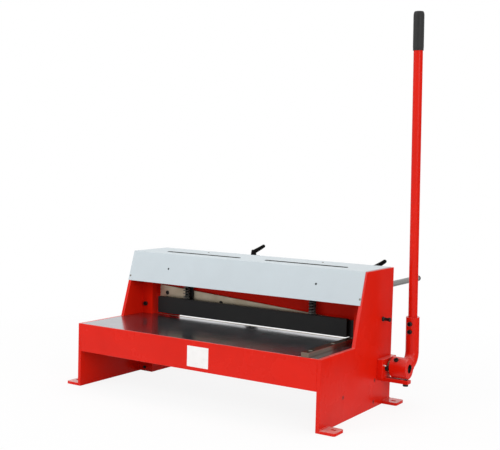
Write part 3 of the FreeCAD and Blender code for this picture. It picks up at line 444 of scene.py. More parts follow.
def ground_steel(name, base, density, rough_range, wear_colour=(150, 146, 138), metallic=1.0):
    """Ground metal whose scratches follow the piece's long side."""
    def build(tree, position):
        marks = place(tree, ground_lines(), {"Position": position, "Density": density})
        edge_band = place(tree, broken_edge_mask(), {"Position": position, "Width": 0.001, "Cover": 0.35})
        metal = mix(tree, marks["Lines"], deeper(base, 0.80), colour(base))
        metal = mix(tree, maths(tree, "MULTIPLY", marks["Smear"], 0.35), metal,
                    colour((base[0] * 0.72, base[1] * 0.62, base[2] * 0.48)))
        metal = mix(tree, maths(tree, "MULTIPLY", edge_band["Mask"], 0.6), metal,
                    screen(*wear_colour))
        rough = remap(tree, marks["Smear"], 0.0, 1.0, *rough_range)
        return {"Base Color": metal, "Roughness": rough,
                "Normal": bump(tree, marks["Lines"], 0.00006, 0.35)}
    return material(name, build, Metallic=metallic)


def blade_steel():
    """Ground blade, its lines along X."""
    return ground_steel("ground blade steel", tone(170, 160, 142), (12.0, 500.0, 900.0),
                        (0.34, 0.50), (210, 206, 196))


def fence_steel():
    """Drawn bar, its lines along Y."""
    return ground_steel("drawn bar steel", tone(124, 108, 96), (900.0, 10.0, 900.0),
                        (0.16, 0.24), (192, 187, 176), 0.85)


def rod_steel():
    """Round bar of drawn steel, with painted shade darkening its underside."""
    base = tone(126, 126, 124)

    def build(tree, position):
        marks = place(tree, ground_lines(), {"Position": position,
                                             "Density": (900.0, 8.0, 900.0)})
        # Painted shade: faces that look down turn near black
        down = remap(tree, facing(tree, "Z"), -0.40, 0.00, 0.90, 0.0)
        metal = mix(tree, marks["Lines"], deeper(base, 0.85), colour(base))
        metal = mix(tree, down, metal, screen(38, 35, 33))
        return {"Base Color": metal,
                "Roughness": remap(tree, marks["Smear"], 0.0, 1.0, 0.20, 0.32),
                "Normal": bump(tree, marks["Lines"], 0.00006, 0.35)}
    return material("round bar steel", build, Metallic=1.0)


def shaft_steel():
    """Turned steel whose ends are painted near black: painted shade inside the hub's bore."""
    base = tone(150, 148, 142)

    def build(tree, position):
        marks = place(tree, ground_lines(), {"Position": position,
                                             "Density": (8.0, 900.0, 900.0)})
        sideways = along(tree, position, "X")
        # Painted shade: past this distance the shaft turns near black and not metallic
        ends = remap(tree, maths(tree, "ABSOLUTE", sideways), SHAFT_SHADE_FROM,
                     SHAFT_SHADE_FROM + 0.002, 0.0, 1.0)
        metal = mix(tree, marks["Lines"], deeper(base, 0.80), colour(base))
        metal = mix(tree, ends, metal, screen(26, 25, 25))
        return {"Base Color": metal, "Metallic": maths(tree, "SUBTRACT", 1.0, ends),
                "Roughness": remap(tree, marks["Smear"], 0.0, 1.0, 0.28, 0.42),
                "Normal": bump(tree, marks["Lines"], 0.00006, 0.35)}
    return material("turned shaft steel", build)


def drive_steel():
    """Machined steel with no one direction."""
    return ground_steel("machined drive steel", tone(120, 116, 108), (300.0, 300.0, 300.0),
                        (0.36, 0.52), (170, 166, 158))


def bush_bronze():
    """Turned bearing bronze."""
    return ground_steel("bush bronze", tone(178, 140, 84), (300.0, 300.0, 300.0),
                        (0.32, 0.44), (214, 180, 124))


def black_coat(name, level, rough_range, peel, metallic=0.0, gloss=0.20):
    """Black paint or black oxide, bare steel showing along its edges."""
    def build(tree, position):
        film = place(tree, paint_film(), {"Position": position, "Peel Per Metre": peel})
        edge_band = place(tree, broken_edge_mask(), {"Position": position, "Width": 0.0012, "Cover": 0.48})
        dust = place(tree, dust_and_top_sheen(), {"Position": position, "Amount": 0.05})
        paint = mix(tree, film["Shade"], screen(level, level, level),
                    screen(level + 8, level + 8, level + 7))
        paint = mix(tree, maths(tree, "MULTIPLY", edge_band["Mask"], 0.30), paint,
                    screen(84, 82, 79))
        paint = mix(tree, dust["Mask"], paint, screen(150, 146, 140))
        rough = remap(tree, film["Shade"], 0.0, 1.0, *rough_range)
        return {"Base Color": paint, "Roughness": rough,
                "Normal": bump(tree, film["Peel"], 0.0002, 0.35)}
    return material(name, build, Metallic=metallic, Specular_IOR_Level=gloss)


def black_paint():
    """Satin paint of the hold-down and the stops."""
    return black_coat("black satin paint", 17, (0.42, 0.52), 520.0)


def black_oxide():
    """Blackened screws and studs."""
    return black_coat("black oxide", 30, (0.30, 0.42), 1400.0, 0.35)


def black_plastic():
    """Moulded levers, caps and plugs."""
    return black_coat("black moulded plastic", 19, (0.34, 0.42), 1100.0, gloss=0.03)


def grip_rubber():
    """Soft black sleeve: fine leathery grain, paler where a hand rubs it."""
    def build(tree, position):
        cells = add(tree, "TexVoronoi", {"Vector": position, "Scale": 900.0}).outputs["Distance"]
        rub = noise(tree, position, 0.05, 4.0)
        rubber = mix(tree, remap(tree, rub, 0.4, 0.7, 0.0, 1.0), screen(27, 27, 27),
                     screen(40, 39, 38))
        height = maths(tree, "MULTIPLY_ADD", noise(tree, position, 0.004, 3.0), 0.4, cells)
        rough = remap(tree, rub, 0.3, 0.7, 0.50, 0.66)
        return {"Base Color": rubber, "Roughness": rough,
                "Normal": bump(tree, height, 0.00025, 0.5)}
    return material("grip rubber", build, Specular_IOR_Level=0.30)


def zinc_plate():
    """Bright plating with its faint cloudy crystals."""
    def build(tree, position):
        grains = add(tree, "TexVoronoi", {"Vector": position, "Scale": 600.0}).outputs["Color"]
        shade = add(tree, "SeparateColor", {0: grains}).outputs[0]
        metal = mix(tree, shade, screen(196, 198, 196), screen(226, 226, 220))
        return {"Base Color": metal, "Roughness": remap(tree, shade, 0.0, 1.0, 0.14, 0.26),
                "Normal": bump(tree, shade, 0.00002, 0.2)}
    return material("zinc plate", build, Metallic=1.0)


def painted_red_screw():
    """Flush screw sprayed with the frame, its red darkened throughout and darker still at its
    edges as painted shade of its recess. The fence's and the left plate's stay bare."""
    base = settings().red

    def build(tree, position):
        film = place(tree, paint_film(), {"Position": position, "Peel Per Metre": 900.0})
        edge_band = place(tree, broken_edge_mask(), {"Position": position, "Width": 0.0008, "Cover": 0.3})
        # Painted shade: the screw's red darkened to a third to a half, its edges darker still
        paint = mix(tree, film["Shade"], deeper(base, 0.30), deeper(base, 0.46))
        paint = mix(tree, maths(tree, "MULTIPLY", edge_band["Mask"], 0.4), paint,
                    screen(70, 30, 26))
        sideways = along(tree, position, "X")
        paint = mix(tree, remap(tree, sideways, FENCE_SCREW_LIMIT, FENCE_SCREW_LIMIT + 0.001,
                                1.0, 0.0), paint, screen(120, 116, 108))
        return {"Base Color": paint, "Roughness": remap(tree, film["Shade"], 0, 1, 0.40, 0.55),
                "Normal": bump(tree, film["Peel"], 0.0001, 0.4)}
    return material("painted flush screw", build, Specular_IOR_Level=0.2)


def spring_steel():
    """Drawn wire with a thin oily film."""
    def build(tree, position):
        cloud = noise(tree, position, 0.006, 4.0)
        metal = mix(tree, remap(tree, cloud, 0.35, 0.65, 0.0, 1.0),
                    screen(84, 84, 80), screen(116, 115, 110))
        return {"Base Color": metal, "Roughness": remap(tree, cloud, 0.3, 0.7, 0.26, 0.38),
                "Normal": bump(tree, cloud, 0.00004, 0.3)}
    return material("spring wire", build, Metallic=0.6, Specular_IOR_Level=0.3)


def blank_label():
    """Plain white laminated plate, a little uneven."""
    def build(tree, position):
        cloud = noise(tree, position, 0.03, 3.0)
        fibre = noise(tree, position, 0.0012, 2.0)
        face = mix(tree, remap(tree, cloud, 0.35, 0.65, 0.0, 1.0), screen(241, 241, 239),
                   screen(245, 245, 244))
        return {"Base Color": face, "Roughness": remap(tree, cloud, 0.3, 0.7, 0.26, 0.36),
                "Normal": bump(tree, fibre, 0.00004, 0.3)}
    return material("blank label", build, Coat_Weight=0.2, Coat_Roughness=0.1)


# Surfaces

def unit(vectors):
    """Each vector over its length."""
    return vectors / np.linalg.norm(vectors, axis=-1, keepdims=True)


def tube(path, radius, up, sides=48, closed=False):
    """Point (i, j) = path[i] + radius[i] (cos a_j n_i + sin a_j b_i), where n_i is the part
    of up square to the path, b_i = t_i x n_i and a_j goes once round."""
    path = np.asarray(path, float)
    if closed:
        tangent = unit(np.roll(path, -1, 0) - np.roll(path, 1, 0))
    else:
        tangent = unit(np.gradient(path, axis=0))
    up = np.broadcast_to(np.asarray(up, float), path.shape)
    normal = unit(up - (up * tangent).sum(1, keepdims=True) * tangent)
    binormal = np.cross(tangent, normal)
    angle = np.linspace(0, 2 * math.pi, sides, endpoint=False)
    radius = np.broadcast_to(np.asarray(radius, float), len(path))[:, None, None]
    ring = (np.cos(angle)[None, :, None] * normal[:, None]
            + np.sin(angle)[None, :, None] * binormal[:, None])
    return path[:, None] + radius * ring


def turned(profile, foot, axis, sides=64, teeth=0):
    """Turned surface. A profile row (a, r, f, k) gives the ring of points foot + a axis
    + q (cos t n + sin t b) with t once round and q = r (1 - f) + f r cos 30 / cos(u - 30)
    + k cos(teeth t), where u is t within its sixth of the turn: a circle at f = 0, a hexagon
    of corner radius r at f = 1, and k the height of its teeth."""
    rows = np.array([tuple(row) + (0.0,) * (4 - len(row)) for row in profile])[:, :, None]
    axis = unit(np.asarray(axis, float))
    up = Z_AXIS if abs(axis[2]) < 0.9 else X_AXIS
    normal = unit(up - (up @ axis) * axis)
    binormal = np.cross(axis, normal)
    angle = np.linspace(0, 2 * math.pi, sides, endpoint=False)
    sixth = math.pi / 3
    hexagon = math.cos(sixth / 2) / np.cos(angle % sixth - sixth / 2)
    reach = (rows[:, 1] * (1 - rows[:, 2] + rows[:, 2] * hexagon)
             + rows[:, 3] * np.cos(teeth * angle))
    ring = np.cos(angle)[:, None] * normal + np.sin(angle)[:, None] * binormal
    return (np.asarray(foot, float) + rows[:, 0, :, None] * axis + reach[..., None] * ring)


def rounded(profile, radius, steps=6):
    """Profile with each inner corner eased by the curve
    q = (1-s)^2 a + 2 s (1-s) corner + s^2 b, between points a and b that lie a radius away
    from it, or 0.45 of a shorter side."""
    profile = [np.asarray(p, float) for p in profile]
    points = [profile[0]]
    share = np.linspace(0, 1, steps)[:, None]
    for before, corner, after in zip(profile, profile[1:], profile[2:]):
        into, out = before - corner, after - corner
        reach = min(radius, 0.45 * np.linalg.norm(into), 0.45 * np.linalg.norm(out))
        start = corner + unit(into) * reach
        end = corner + unit(out) * reach
        curve = (1 - share) ** 2 * start + 2 * share * (1 - share) * corner + share ** 2 * end
        points.extend(curve)
    points.append(profile[-1])
    return np.array(points)


def round_plate(low, high, corner, edge, steps=6):
    """Flat plate facing -Y. Its outline at inset e is centre + sign (half size - corner)
    + (corner - e) (cos t, sin t), t once round; rows of it go from the back's middle over
    the rounded rim to the front's middle."""
    low, high = np.asarray(low, float), np.asarray(high, float)
    middle, half = (low + high) / 2, (high - low) / 2
    quarter = np.linspace(0, math.pi / 2, steps)
    angle = np.concatenate([quarter + k * math.pi / 2 for k in range(4)])
    quadrant = np.repeat(np.arange(4), steps)
    sign_x = np.array([1, -1, -1, 1])[quadrant]
    sign_z = np.array([1, 1, -1, -1])[quadrant]
    bend = np.linspace(0, math.pi / 2, 5)
    inset = np.concatenate([[0], edge * (1 - np.cos(bend)), [edge * 3]])
    depth = np.concatenate([[high[1]], low[1] + edge * (1 - np.sin(bend)), [low[1]]])
    reach = (corner - inset)[:, None]
    x = middle[0] + sign_x * (half[0] - corner) + reach * np.cos(angle)
    z = middle[2] + sign_z * (half[2] - corner) + reach * np.sin(angle)
    y = np.broadcast_to(depth[:, None], x.shape)
    rim = np.stack([x, y, z], -1)
    back = np.broadcast_to([middle[0], high[1], middle[2]], rim[:1].shape)
    front = np.broadcast_to([middle[0], low[1], middle[2]], rim[:1].shape)
    return np.concatenate([back, rim, front])


def coil(foot, length, radius, wire, turns, dead=1.0, sides=14):
    """Wound wire standing on foot: at t turns its centre is (r cos 2 pi t, r sin 2 pi t, h),
    and h is the running sum of a pitch that is the wire's thickness over the dead turns at
    each end and one even value between. The ends are ground flat by holding z in range."""
    turn = np.linspace(0, turns, int(turns * 40) + 1)
    share = np.clip((np.minimum(turn, turns - turn) - dead) / 0.6, 0, 1)
    step = turn[1]
    closed, open_ = (1 - share).sum() * step, share.sum() * step
    pitch = (length - wire * 0.6 - wire * closed) / open_
    rate = wire * (1 - share) + pitch * share
    rise = np.concatenate([[0], np.cumsum((rate[1:] + rate[:-1]) / 2 * step)])
    rise *= (length - wire * 0.6) / rise[-1]
    path = np.asarray(foot, float) + np.stack([radius * np.cos(2 * math.pi * turn),
                                               radius * np.sin(2 * math.pi * turn),
                                               rise + wire * 0.3], 1)
    grid = tube(path, wire / 2, Z_AXIS, sides)
    grid[..., 2] = np.clip(grid[..., 2], foot[2], foot[2] + length)
    return grid


def threaded(foot, length, radius, pitch, sides=20):
    """Screw thread along +Z: at height z and angle t the radius is
    r - d (1 - cos(2 pi z / pitch - t)) / 2 with depth d = 0.6 pitch, drawn in at both ends."""
    height = np.linspace(0, length, int(length / pitch * 8))[:, None]
    angle = np.linspace(0, 2 * math.pi, sides, endpoint=False)[None]
    depth = 0.6 * pitch
    cut = depth * (1 - np.cos(2 * math.pi * height / pitch - angle)) / 2
    drawn = np.clip(depth - np.minimum(height, length - height), 0, None)
    reach = radius - np.maximum(cut, drawn)
    reach[[0, -1]] = 0
    points = np.stack([reach * np.cos(angle), reach * np.sin(angle),
                       np.broadcast_to(height, reach.shape)], -1)
    return np.asarray(foot, float) + points


def weld_bead(path, radius, up, closed=False, sides=12):
    """Bead along a path: a tube whose radius is r (0.84 + 0.16 |cos(pi s / ripple)|) at the
    running length s, and which is drawn in as a quarter circle at open ends."""
    path = np.asarray(path, float)
    run = np.concatenate([[0], np.cumsum(np.linalg.norm(np.diff(path, axis=0), axis=1))])
    size = radius * (0.84 + 0.16 * np.abs(np.cos(math.pi * run / BEAD_RIPPLE)))
    if not closed:
        near = np.clip(np.minimum(run, run[-1] - run) / radius, 0, 1)
        size = size * np.sqrt(1 - (1 - near) ** 2)
    return tube(path, size, up, sides, closed)


def straight(start, end, step=0.0004):
    """Evenly spaced points from start to end."""
    start, end = np.asarray(start, float), np.asarray(end, float)
    count = max(int(np.linalg.norm(end - start) / step), 8)
    return start + np.linspace(0, 1, count)[:, None] * (end - start)


def socket_screw(seat, out, head_radius, head_height, shank_radius, length):
    """Turned profile of a cap screw: hexagon socket, rounded crown, toothed side, shank."""
    h, r, s = head_height, head_radius, shank_radius * 0.92
    profile = [(h * 0.45, 0), (h * 0.45, s, 1), (h * 0.97, s, 1), (h, s * 1.12, 0.4),
               (h, r * 0.88), (h * 0.985, r * 0.95), (h * 0.94, r * 0.99), (h * 0.90, r),
               (h * 0.88, r, 0, r * 0.014), (h * 0.14, r, 0, r * 0.014), (h * 0.12, r),
               (h * 0.02, r), (0, r * 0.97), (0, shank_radius), (-length, shank_radius),
               (-length, 0)]
    return turned(profile, seat, out, sides=144, teeth=36)


# Pieces

def solids(node):
    """Boxes (low, high) of the separate solids in a CAD node, sorted by their low corner.
    Corners that share a place get one label, and the least label spreads over triangles."""
    mesh = frame["nodes"][node].data
    points = np.empty(len(mesh.vertices) * 3)
    mesh.vertices.foreach_get("co", points)
    points = points.reshape(-1, 3)
    corners = np.empty(len(mesh.loops), dtype=np.int32)
    mesh.loops.foreach_get("vertex_index", corners)
    places, same = np.unique(np.round(points, 6), axis=0, return_inverse=True)
    faces = same.ravel()[corners].reshape(-1, 3)
    label = np.arange(len(places))
    settled = False
    while not settled:
        spread = label.copy()
        np.minimum.at(spread, faces.ravel(), np.repeat(label[faces].min(1), 3))
        spread = spread[spread]
        settled = (spread == label).all()
        label = spread
    names, member = np.unique(label, return_inverse=True)
    low = np.full((len(names), 3), np.inf)
    high = np.full((len(names), 3), -np.inf)
    np.minimum.at(low, member.ravel(), places)
    np.maximum.at(high, member.ravel(), places)
    order = np.lexsort(np.round(low, 4).T[::-1])
    return [(low[k], high[k]) for k in order]


def piece(name, grids, body, finish, replaces=()):
    """One object from grids of points, each ring closed. A grid is given alone, or with the
    word loop when its rows join end to end; rings of one point close a grid's ends."""
    vertices, faces = [], []
    base = 0
    for entry in grids:
        grid, joined = entry if isinstance(entry, tuple) else (entry, "")
        rows, columns = grid.shape[:2]
        index = base + np.arange(rows * columns).reshape(rows, columns)
        ring = np.hstack([index, index[:, :1]])
        if joined == "loop":
            ring = np.vstack([ring, ring[:1]])
        quads = np.stack([ring[:-1, :-1], ring[:-1, 1:], ring[1:, 1:], ring[1:, :-1]], -1)
        faces.extend(quads.reshape(-1, 4).tolist())
        vertices.append(grid.reshape(-1, 3))
        base += rows * columns
    mesh = bpy.data.meshes.new(name)
    mesh.from_pydata(np.vstack(vertices).tolist(), [], faces)
    shell = bmesh.new()
    shell.from_mesh(mesh)
    bmesh.ops.remove_doubles(shell, verts=shell.verts, dist=1e-7)
    bmesh.ops.dissolve_degenerate(shell, edges=shell.edges, dist=1e-8)
    loose = [edge for edge in shell.edges if edge.is_boundary]
    if loose:
        bmesh.ops.holes_fill(shell, edges=loose)
    bmesh.ops.recalc_face_normals(shell, faces=shell.faces)
    shell.to_mesh(mesh)
    shell.free()
    mesh.shade_smooth()
    mesh.set_sharp_from_angle(angle=SMOOTH_ANGLE)
    mesh.materials.append(finish)
    made = bpy.data.objects.new(name, mesh)
    bpy.context.scene.collection.objects.link(made)
    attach(made, body)
    if replaces:
        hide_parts(*replaces)
    return made


def finish_node(node, finish, edge=0.0):
    """Give a CAD node its material and, if asked, softly rounded edges."""
    shown = frame["nodes"][node]
    shown.data.materials.clear()
    shown.data.materials.append(finish)
    weld = shown.modifiers.new("weld", "WELD")
    weld.merge_threshold = 0.00001
    if edge > 0:
        flat = shown.modifiers.new("flat", "DECIMATE")
        flat.decimate_type = "DISSOLVE"
        flat.angle_limit = math.radians(0.5)
        bevel = shown.modifiers.new("edge", "BEVEL")
        bevel.width = edge
        bevel.segments = 2
        bevel.limit_method = "ANGLE"
        bevel.angle_limit = math.radians(40)
        bevel.harden_normals = True
    shade = shown.modifiers.new("shade", "WEIGHTED_NORMAL")
    shade.weight = 50
    shade.keep_sharp = True


# Settings and operators

class ShearFinish(bpy.types.PropertyGroup):
    """Colours and small sizes of the shear's finish."""
    red: bpy.props.FloatVectorProperty(
        name="Enamel", description="Colour of the frame, ram and lever", subtype="COLOR",
        size=3, min=0, max=1, default=(0.74, 0.013, 0.004))
    cover: bpy.props.FloatVectorProperty(
        name="Cover Coat", description="Colour of the sheet-metal cover", subtype="COLOR",
        size=3, min=0, max=1, default=tone(199, 209, 214))
    table: bpy.props.FloatVectorProperty(
        name="Table Top", description="Colour of the oiled table", subtype="COLOR",
        size=3, min=0, max=1, default=(0.345, 0.345, 0.375))
    plate_edge: bpy.props.FloatProperty(
        name="Plate Edge", description="Rounding of the cut plates' edges", unit="LENGTH",
        default=0.0008, min=0, max=0.003)
    weld_size: bpy.props.FloatProperty(
        name="Weld Size", description="Radius of the weld beads", unit="LENGTH",
        default=0.0035, min=0.001, max=0.008)
    light_level: bpy.props.FloatProperty(
        name="Light Level", description="Strength of the soft light from all sides",
        default=0.50, min=0, max=3)


class SHEAR_OT_frame_plates(bpy.types.Operator):
    """Paint the welded frame, its feet, guides and bearing blocks"""
    bl_idname = "shear.frame_plates"
    bl_label = "Frame Plates"

    def execute(self, context):
        edge = settings().plate_edge
        for node in ("side_plate_left", "side_plate_right", "apron", "bearing_block_left",
                     "bearing_block_right", "stop_bar", "rear_tie", "rear_flanges"):
            finish_node(node, red_enamel())
        for node in ("table_beam", "top_tie", "rear_feet", "guide_column_left",
                     "guide_column_right", "guide_keepers", "gib_strips"):
            finish_node(node, red_enamel("red enamel, inner", polish=0.02), edge)
        # The feet's tops get a heavy pale layer: partly dust, mostly a painted reflection of the
        # white floor
        finish_node("front_feet", red_enamel("red enamel, dusty", dust_and_sheen=0.85), edge)
        return {"FINISHED"}


class SHEAR_OT_frame_welds(bpy.types.Operator):
    """Lay the weld beads of the feet, the ties, the apron and the table"""
    bl_idname = "shear.frame_welds"
    bl_label = "Frame Welds"

    def execute(self, context):
        size = settings().weld_size
        beads = []
        for low, high in solids("front_feet") + solids("rear_feet"):
            inner = high[0] if high[0] < 0 else low[0]
            out = -size / 3 if inner < 0 else size / 3
            beads.append(weld_bead(straight((inner + out, low[1] + size, high[2]),
                                            (inner + out, high[1] - size, high[2])),
                                   size, Z_AXIS))
        plates = box("side_plate_left")[1][0], box("side_plate_right")[0][0]
        apron, table = box("apron"), box("table_plate")
        for x, sign in zip(plates, (1, -1)):
            inside = x + sign * size / 4
            behind = apron[1][1] + size / 4
            beads.append(weld_bead(straight((inside, behind, apron[0][2] + APRON_WELD_LIFT),
                                            (inside, behind, table[0][2])), size, Y_AXIS))
            rear = table[1][1] - TABLE_WELD_STOP
            beads.append(weld_bead(straight((inside, apron[1][1], table[0][2]),
                                            (inside, rear, table[0][2])), size, Z_AXIS))
            for node in ("rear_tie", "top_tie"):
                low, high = box(node)
                front = low[1] if node == "rear_tie" else high[1]
                foot, head = low[2] + TIE_WELD_STOPS[0], high[2] - TIE_WELD_STOPS[1]
                beads.append(weld_bead(straight((inside, front, foot), (inside, front, head)),
                                       size, Y_AXIS))
        piece("frame_welds", beads, "frame", red_enamel())
        return {"FINISHED"}


class SHEAR_OT_cover(bpy.types.Operator):
    """Coat the bent sheet-metal cover, its screws and plugs, and its slots' edging"""
    bl_idname = "shear.cover"
    bl_label = "Cover"

    def execute(self, context):
        finish_node("cover", cover_coat(), 0.0005)
        finish_node("cover_screws", drive_steel(), 0.0003)
        finish_node("cover_plugs", black_plastic())
        # Black rubber edging round the slots, which also serves as painted shade inside them
        finish_node("slot_edging", grip_rubber(), 0.0006)
        return {"FINISHED"}


class SHEAR_OT_cutting_parts(bpy.types.Operator):
    """Finish the table, blades, hold-down, fence and ram"""
    bl_idname = "shear.cutting_parts"
    bl_label = "Cutting Parts"

    def execute(self, context):
        edge = settings().plate_edge
        finish_node("table_plate", table_steel(), edge * 1.5)
        finish_node("upper_blade", blade_steel(), edge / 4)
        finish_node("lower_blade", blade_steel(), edge / 4)
        finish_node("side_fence", fence_steel())
        finish_node("ram_beam", red_enamel("red enamel, inner", polish=0.02), edge)
        finish_node("hold_down_bar", black_paint())
        # The black guides stand where dark bands of shade fall beside the springs: partly real
        # guides, partly painted shade
        finish_node("hold_down_guides", black_paint(), edge)
        finish_node("hold_down_lugs", black_paint())
        for node in ("spring_bracket_left", "spring_bracket_right"):
            finish_node(node, black_paint(), edge)
        return {"FINISHED"}


class SHEAR_OT_drive(bpy.types.Operator):
    """Finish the shaft, cranks, drive pins, yokes and bushes"""
    bl_idname = "shear.drive"
    bl_label = "Drive"

    def execute(self, context):
        finish_node("drive_shaft", shaft_steel())
        finish_node("shaft_collar", black_oxide(), 0.0008)
        for node in ("crank_left", "crank_right", "yoke_left", "yoke_right"):
            finish_node(node, drive_steel(), settings().plate_edge)
        finish_node("crank_pins", drive_steel())
        finish_node("bearing_bushes", bush_bronze())
        return {"FINISHED"}


class SHEAR_OT_screws(bpy.types.Operator):
    """Turn the cap screws and finish the flush ones"""
    bl_idname = "shear.screws"
    bl_label = "Screws"

    def execute(self, context):
        keeper = []
        for low, high in solids("keeper_bolts"):
            middle = (low + high) / 2
            radius = (high[0] - low[0]) / 2
            head, shank = KEEPER_SCREW if radius > KEEPER_SCREW_FROM else SHOE_SCREW
            seat = (middle[0], low[1] + head, middle[2])
            keeper.append(socket_screw(seat, -Y_AXIS, radius, head, shank,
                                       high[1] - low[1] - head))
        piece("keeper_bolt_heads", keeper, "frame", black_oxide(),
              ("keeper_bolts",))
        bearing = []
        for low, high in solids("cap_screws"):
            middle, size = (low + high) / 2, high - low
            if size[2] > STOP_SCREW_FROM:
                head, shank = STOP_SCREW
                seat = (middle[0], middle[1], low[2] + head)
                bearing.append(socket_screw(seat, -Z_AXIS, size[0] / 2, head, shank,
                                            size[2] - head))
                continue
            head, shank = BLOCK_SCREW
            sign = math.copysign(1, middle[0])
            end = high[0] if sign > 0 else low[0]
            seat = (end - sign * head, middle[1], middle[2])
            bearing.append(socket_screw(seat, sign * X_AXIS, size[1] / 2, head, shank,
                                        size[0] - head))
        piece("bearing_block_screws", bearing, "frame", black_oxide(),
              ("cap_screws",))
        for node in ("upper_blade_screws", "lower_blade_screws", "lever_screws"):
            finish_node(node, black_oxide(), 0.0003)
        finish_node("countersunk_screws", painted_red_screw())
        return {"FINISHED"}


class SHEAR_OT_side_stud(bpy.types.Operator):
    """Turn the waisted stud on the right side plate"""
    bl_idname = "shear.side_stud"
    bl_label = "Side Stud"

    def execute(self, context):
        low, high = box("side_stud")
        middle = (low + high) / 2
        radius = (high[2] - low[2]) / 2
        length = high[0] - low[0]
        profile = rounded([(0, 0), (0, radius), (0.005, radius), (0.008, radius * 0.65),
                           (length - 0.010, radius * 0.65), (length - 0.007, radius * 0.9),
                           (length, radius * 0.9), (length, 0)], 0.0016)
        grid = turned(profile, (low[0], middle[1], middle[2]), X_AXIS)
        piece("turned_side_stud", [grid], "frame", black_oxide(), ("side_stud",))
        return {"FINISHED"}


class SHEAR_OT_grease_nipples(bpy.types.Operator):
    """Turn the two grease nipples with their hexagon and ball end"""
    bl_idname = "shear.grease_nipples"
    bl_label = "Grease Nipples"

    def execute(self, context):
        grids = []
        profile = [(0, 0), (0, 0.0037), (0.0002, 0.0040, 1), (0.0036, 0.0040, 1),
                   (0.0040, 0.0035, 0.6), (0.0042, 0.0024), (0.0052, 0.0020), (0.0064, 0.0019),
                   (0.0070, 0.0026), (0.0080, 0.0031), (0.0092, 0.0032), (0.0104, 0.0028),
                   (0.0114, 0.0019), (0.0119, 0.0010), (0.0119, 0.0006), (0.0112, 0.0005),
                   (0.0110, 0)]
        for low, high in solids("grease_nipples"):
            middle = (low + high) / 2
            sign = math.copysign(1, middle[0])
            root = low[0] if sign > 0 else high[0]
            grids.append(turned(profile, (root, middle[1], middle[2]), sign * X_AXIS, sides=48))
        piece("turned_grease_nipples", grids, "frame", zinc_plate(),
              ("grease_nipples",))
        return {"FINISHED"}


class SHEAR_OT_lever_arm(bpy.types.Operator):
    """Paint the hub and its bent socket, and lay the weld bead between them"""
    bl_idname = "shear.lever_arm"
    bl_label = "Lever Arm"

    def execute(self, context):
        finish_node("lever_arm", red_enamel("red enamel, bored", True))
        low, high = box("drive_shaft")
        axis_y, axis_z = (low[1] + high[1]) / 2, (low[2] + high[2]) / 2
        tube_low, tube_high = box("handle_tube")
        x = (tube_low[0] + tube_high[0]) / 2
        piece("socket_weld", [(hub_weld(x, axis_y, axis_z, settings().weld_size), "loop")],
              "lever", red_enamel())
        return {"FINISHED"}


def hub_weld(x, axis_y, axis_z, size):
    """Bead where the round socket meets the round hub. With e the direction from the socket
    to the hub, X and n square to it, the joint at angle t is
    axis + r (cos t X + sin t n) - e sqrt(R^2 - r^2 sin^2 t), kept inside the hub's end."""
    towards = np.array(SOCKET_TOWARDS_HUB)
    across = np.cross(towards, X_AXIS)
    angle = np.linspace(0, 2 * math.pi, 420, endpoint=False)[:, None]
    side = SOCKET_RADIUS * np.sin(angle)
    away = np.sqrt(HUB_RADIUS ** 2 - side ** 2)
    hub_end = box("lever_arm")[1][0] - x
    along = np.minimum(SOCKET_RADIUS * np.cos(angle), hub_end - size)
    path = (np.array([x, axis_y, axis_z]) + along * X_AXIS + side * across - away * towards)
    return weld_bead(path, size, -towards, closed=True)


class SHEAR_OT_handle(bpy.types.Operator):
    """Paint the handle tube and turn its moulded grip"""
    bl_idname = "shear.handle"
    bl_label = "Handle"

    def execute(self, context):
        finish_node("handle_tube", red_enamel())
        low, high = box("handle_grip")
        lean = math.atan(HANDLE_LEAN)
        axis = np.array([0, -math.sin(lean), math.cos(lean)])
        radius = (high[0] - low[0]) / 2
        length = (high[2] - low[2] - radius * math.sin(lean)) / math.cos(lean) - GRIP_TRIM
        foot = np.array([(low[0] + high[0]) / 2, high[1] - radius * math.cos(lean),
                         low[2] + radius * math.sin(lean)])
        profile = rounded([(0, radius * 0.85), (0, radius * 0.985), (0.004, radius * 0.985),
                           (0.006, radius * 0.955), (0.008, radius * 0.985),
                           (0.012, radius), (length - 0.013, radius),
                           (length, radius * 0.86), (length, 0)], 0.0125, 14)
        rows = [(0.002, 0), (0, radius * 0.80), *profile]
        piece("moulded_grip", [turned(rows, foot, axis, sides=96)], "lever", grip_rubber(),
              ("handle_grip",))
        return {"FINISHED"}


class SHEAR_OT_back_gauge(bpy.types.Operator):
    """Finish the rods and sliding stops, and mould their caps and clamping levers"""
    bl_idname = "shear.back_gauge"
    bl_label = "Back Gauge"

    def execute(self, context):
        for side in ("left", "right"):
            finish_node("gauge_rod_" + side, rod_steel())
            finish_node("back_stop_" + side, black_paint(), settings().plate_edge)
            pivot, turn = clamp_pivot(side)
            piece("moulded_clamp_" + side, clamp_grids(pivot, turn), "clamp_" + side,
                  black_plastic(), ("clamp_lever_" + side,))
        caps = []
        for low, high in solids("rod_caps"):
            middle = (low + high) / 2
            radius = (high[0] - low[0]) / 2
            length = high[1] - low[1]
            profile = rounded([(0, 0), (0, radius), (length * 0.25, radius),
                               (length * 0.30, radius * 0.965), (length * 0.36, radius),
                               (length * 0.7, radius), (length, radius * 0.55), (length, 0)],
                              0.0035, 8)
            caps.append(turned(profile, (middle[0], low[1], middle[2]), Y_AXIS))
        piece("moulded_rod_caps", caps, "ram", black_plastic(), ("rod_caps",))
        return {"FINISHED"}


def clamp_pivot(side):
    """A clamping lever's axis and turn, from its joint and its node's box."""
    joint = [j for j in frame["joints"] if j["name"] == "clamp_lever_%s_turn" % side][0]
    pivot = np.array(joint["pos_m"])
    low, high = box("clamp_lever_" + side)
    pivot[2] = low[2]
    reach = (high - CLAMP_TIP_RADIUS) - pivot
    back = (low + CLAMP_TIP_RADIUS) - pivot
    across = back[1] if abs(back[1]) > abs(reach[1]) + 0.004 else 0.0
    return pivot, math.atan2(across, reach[0])


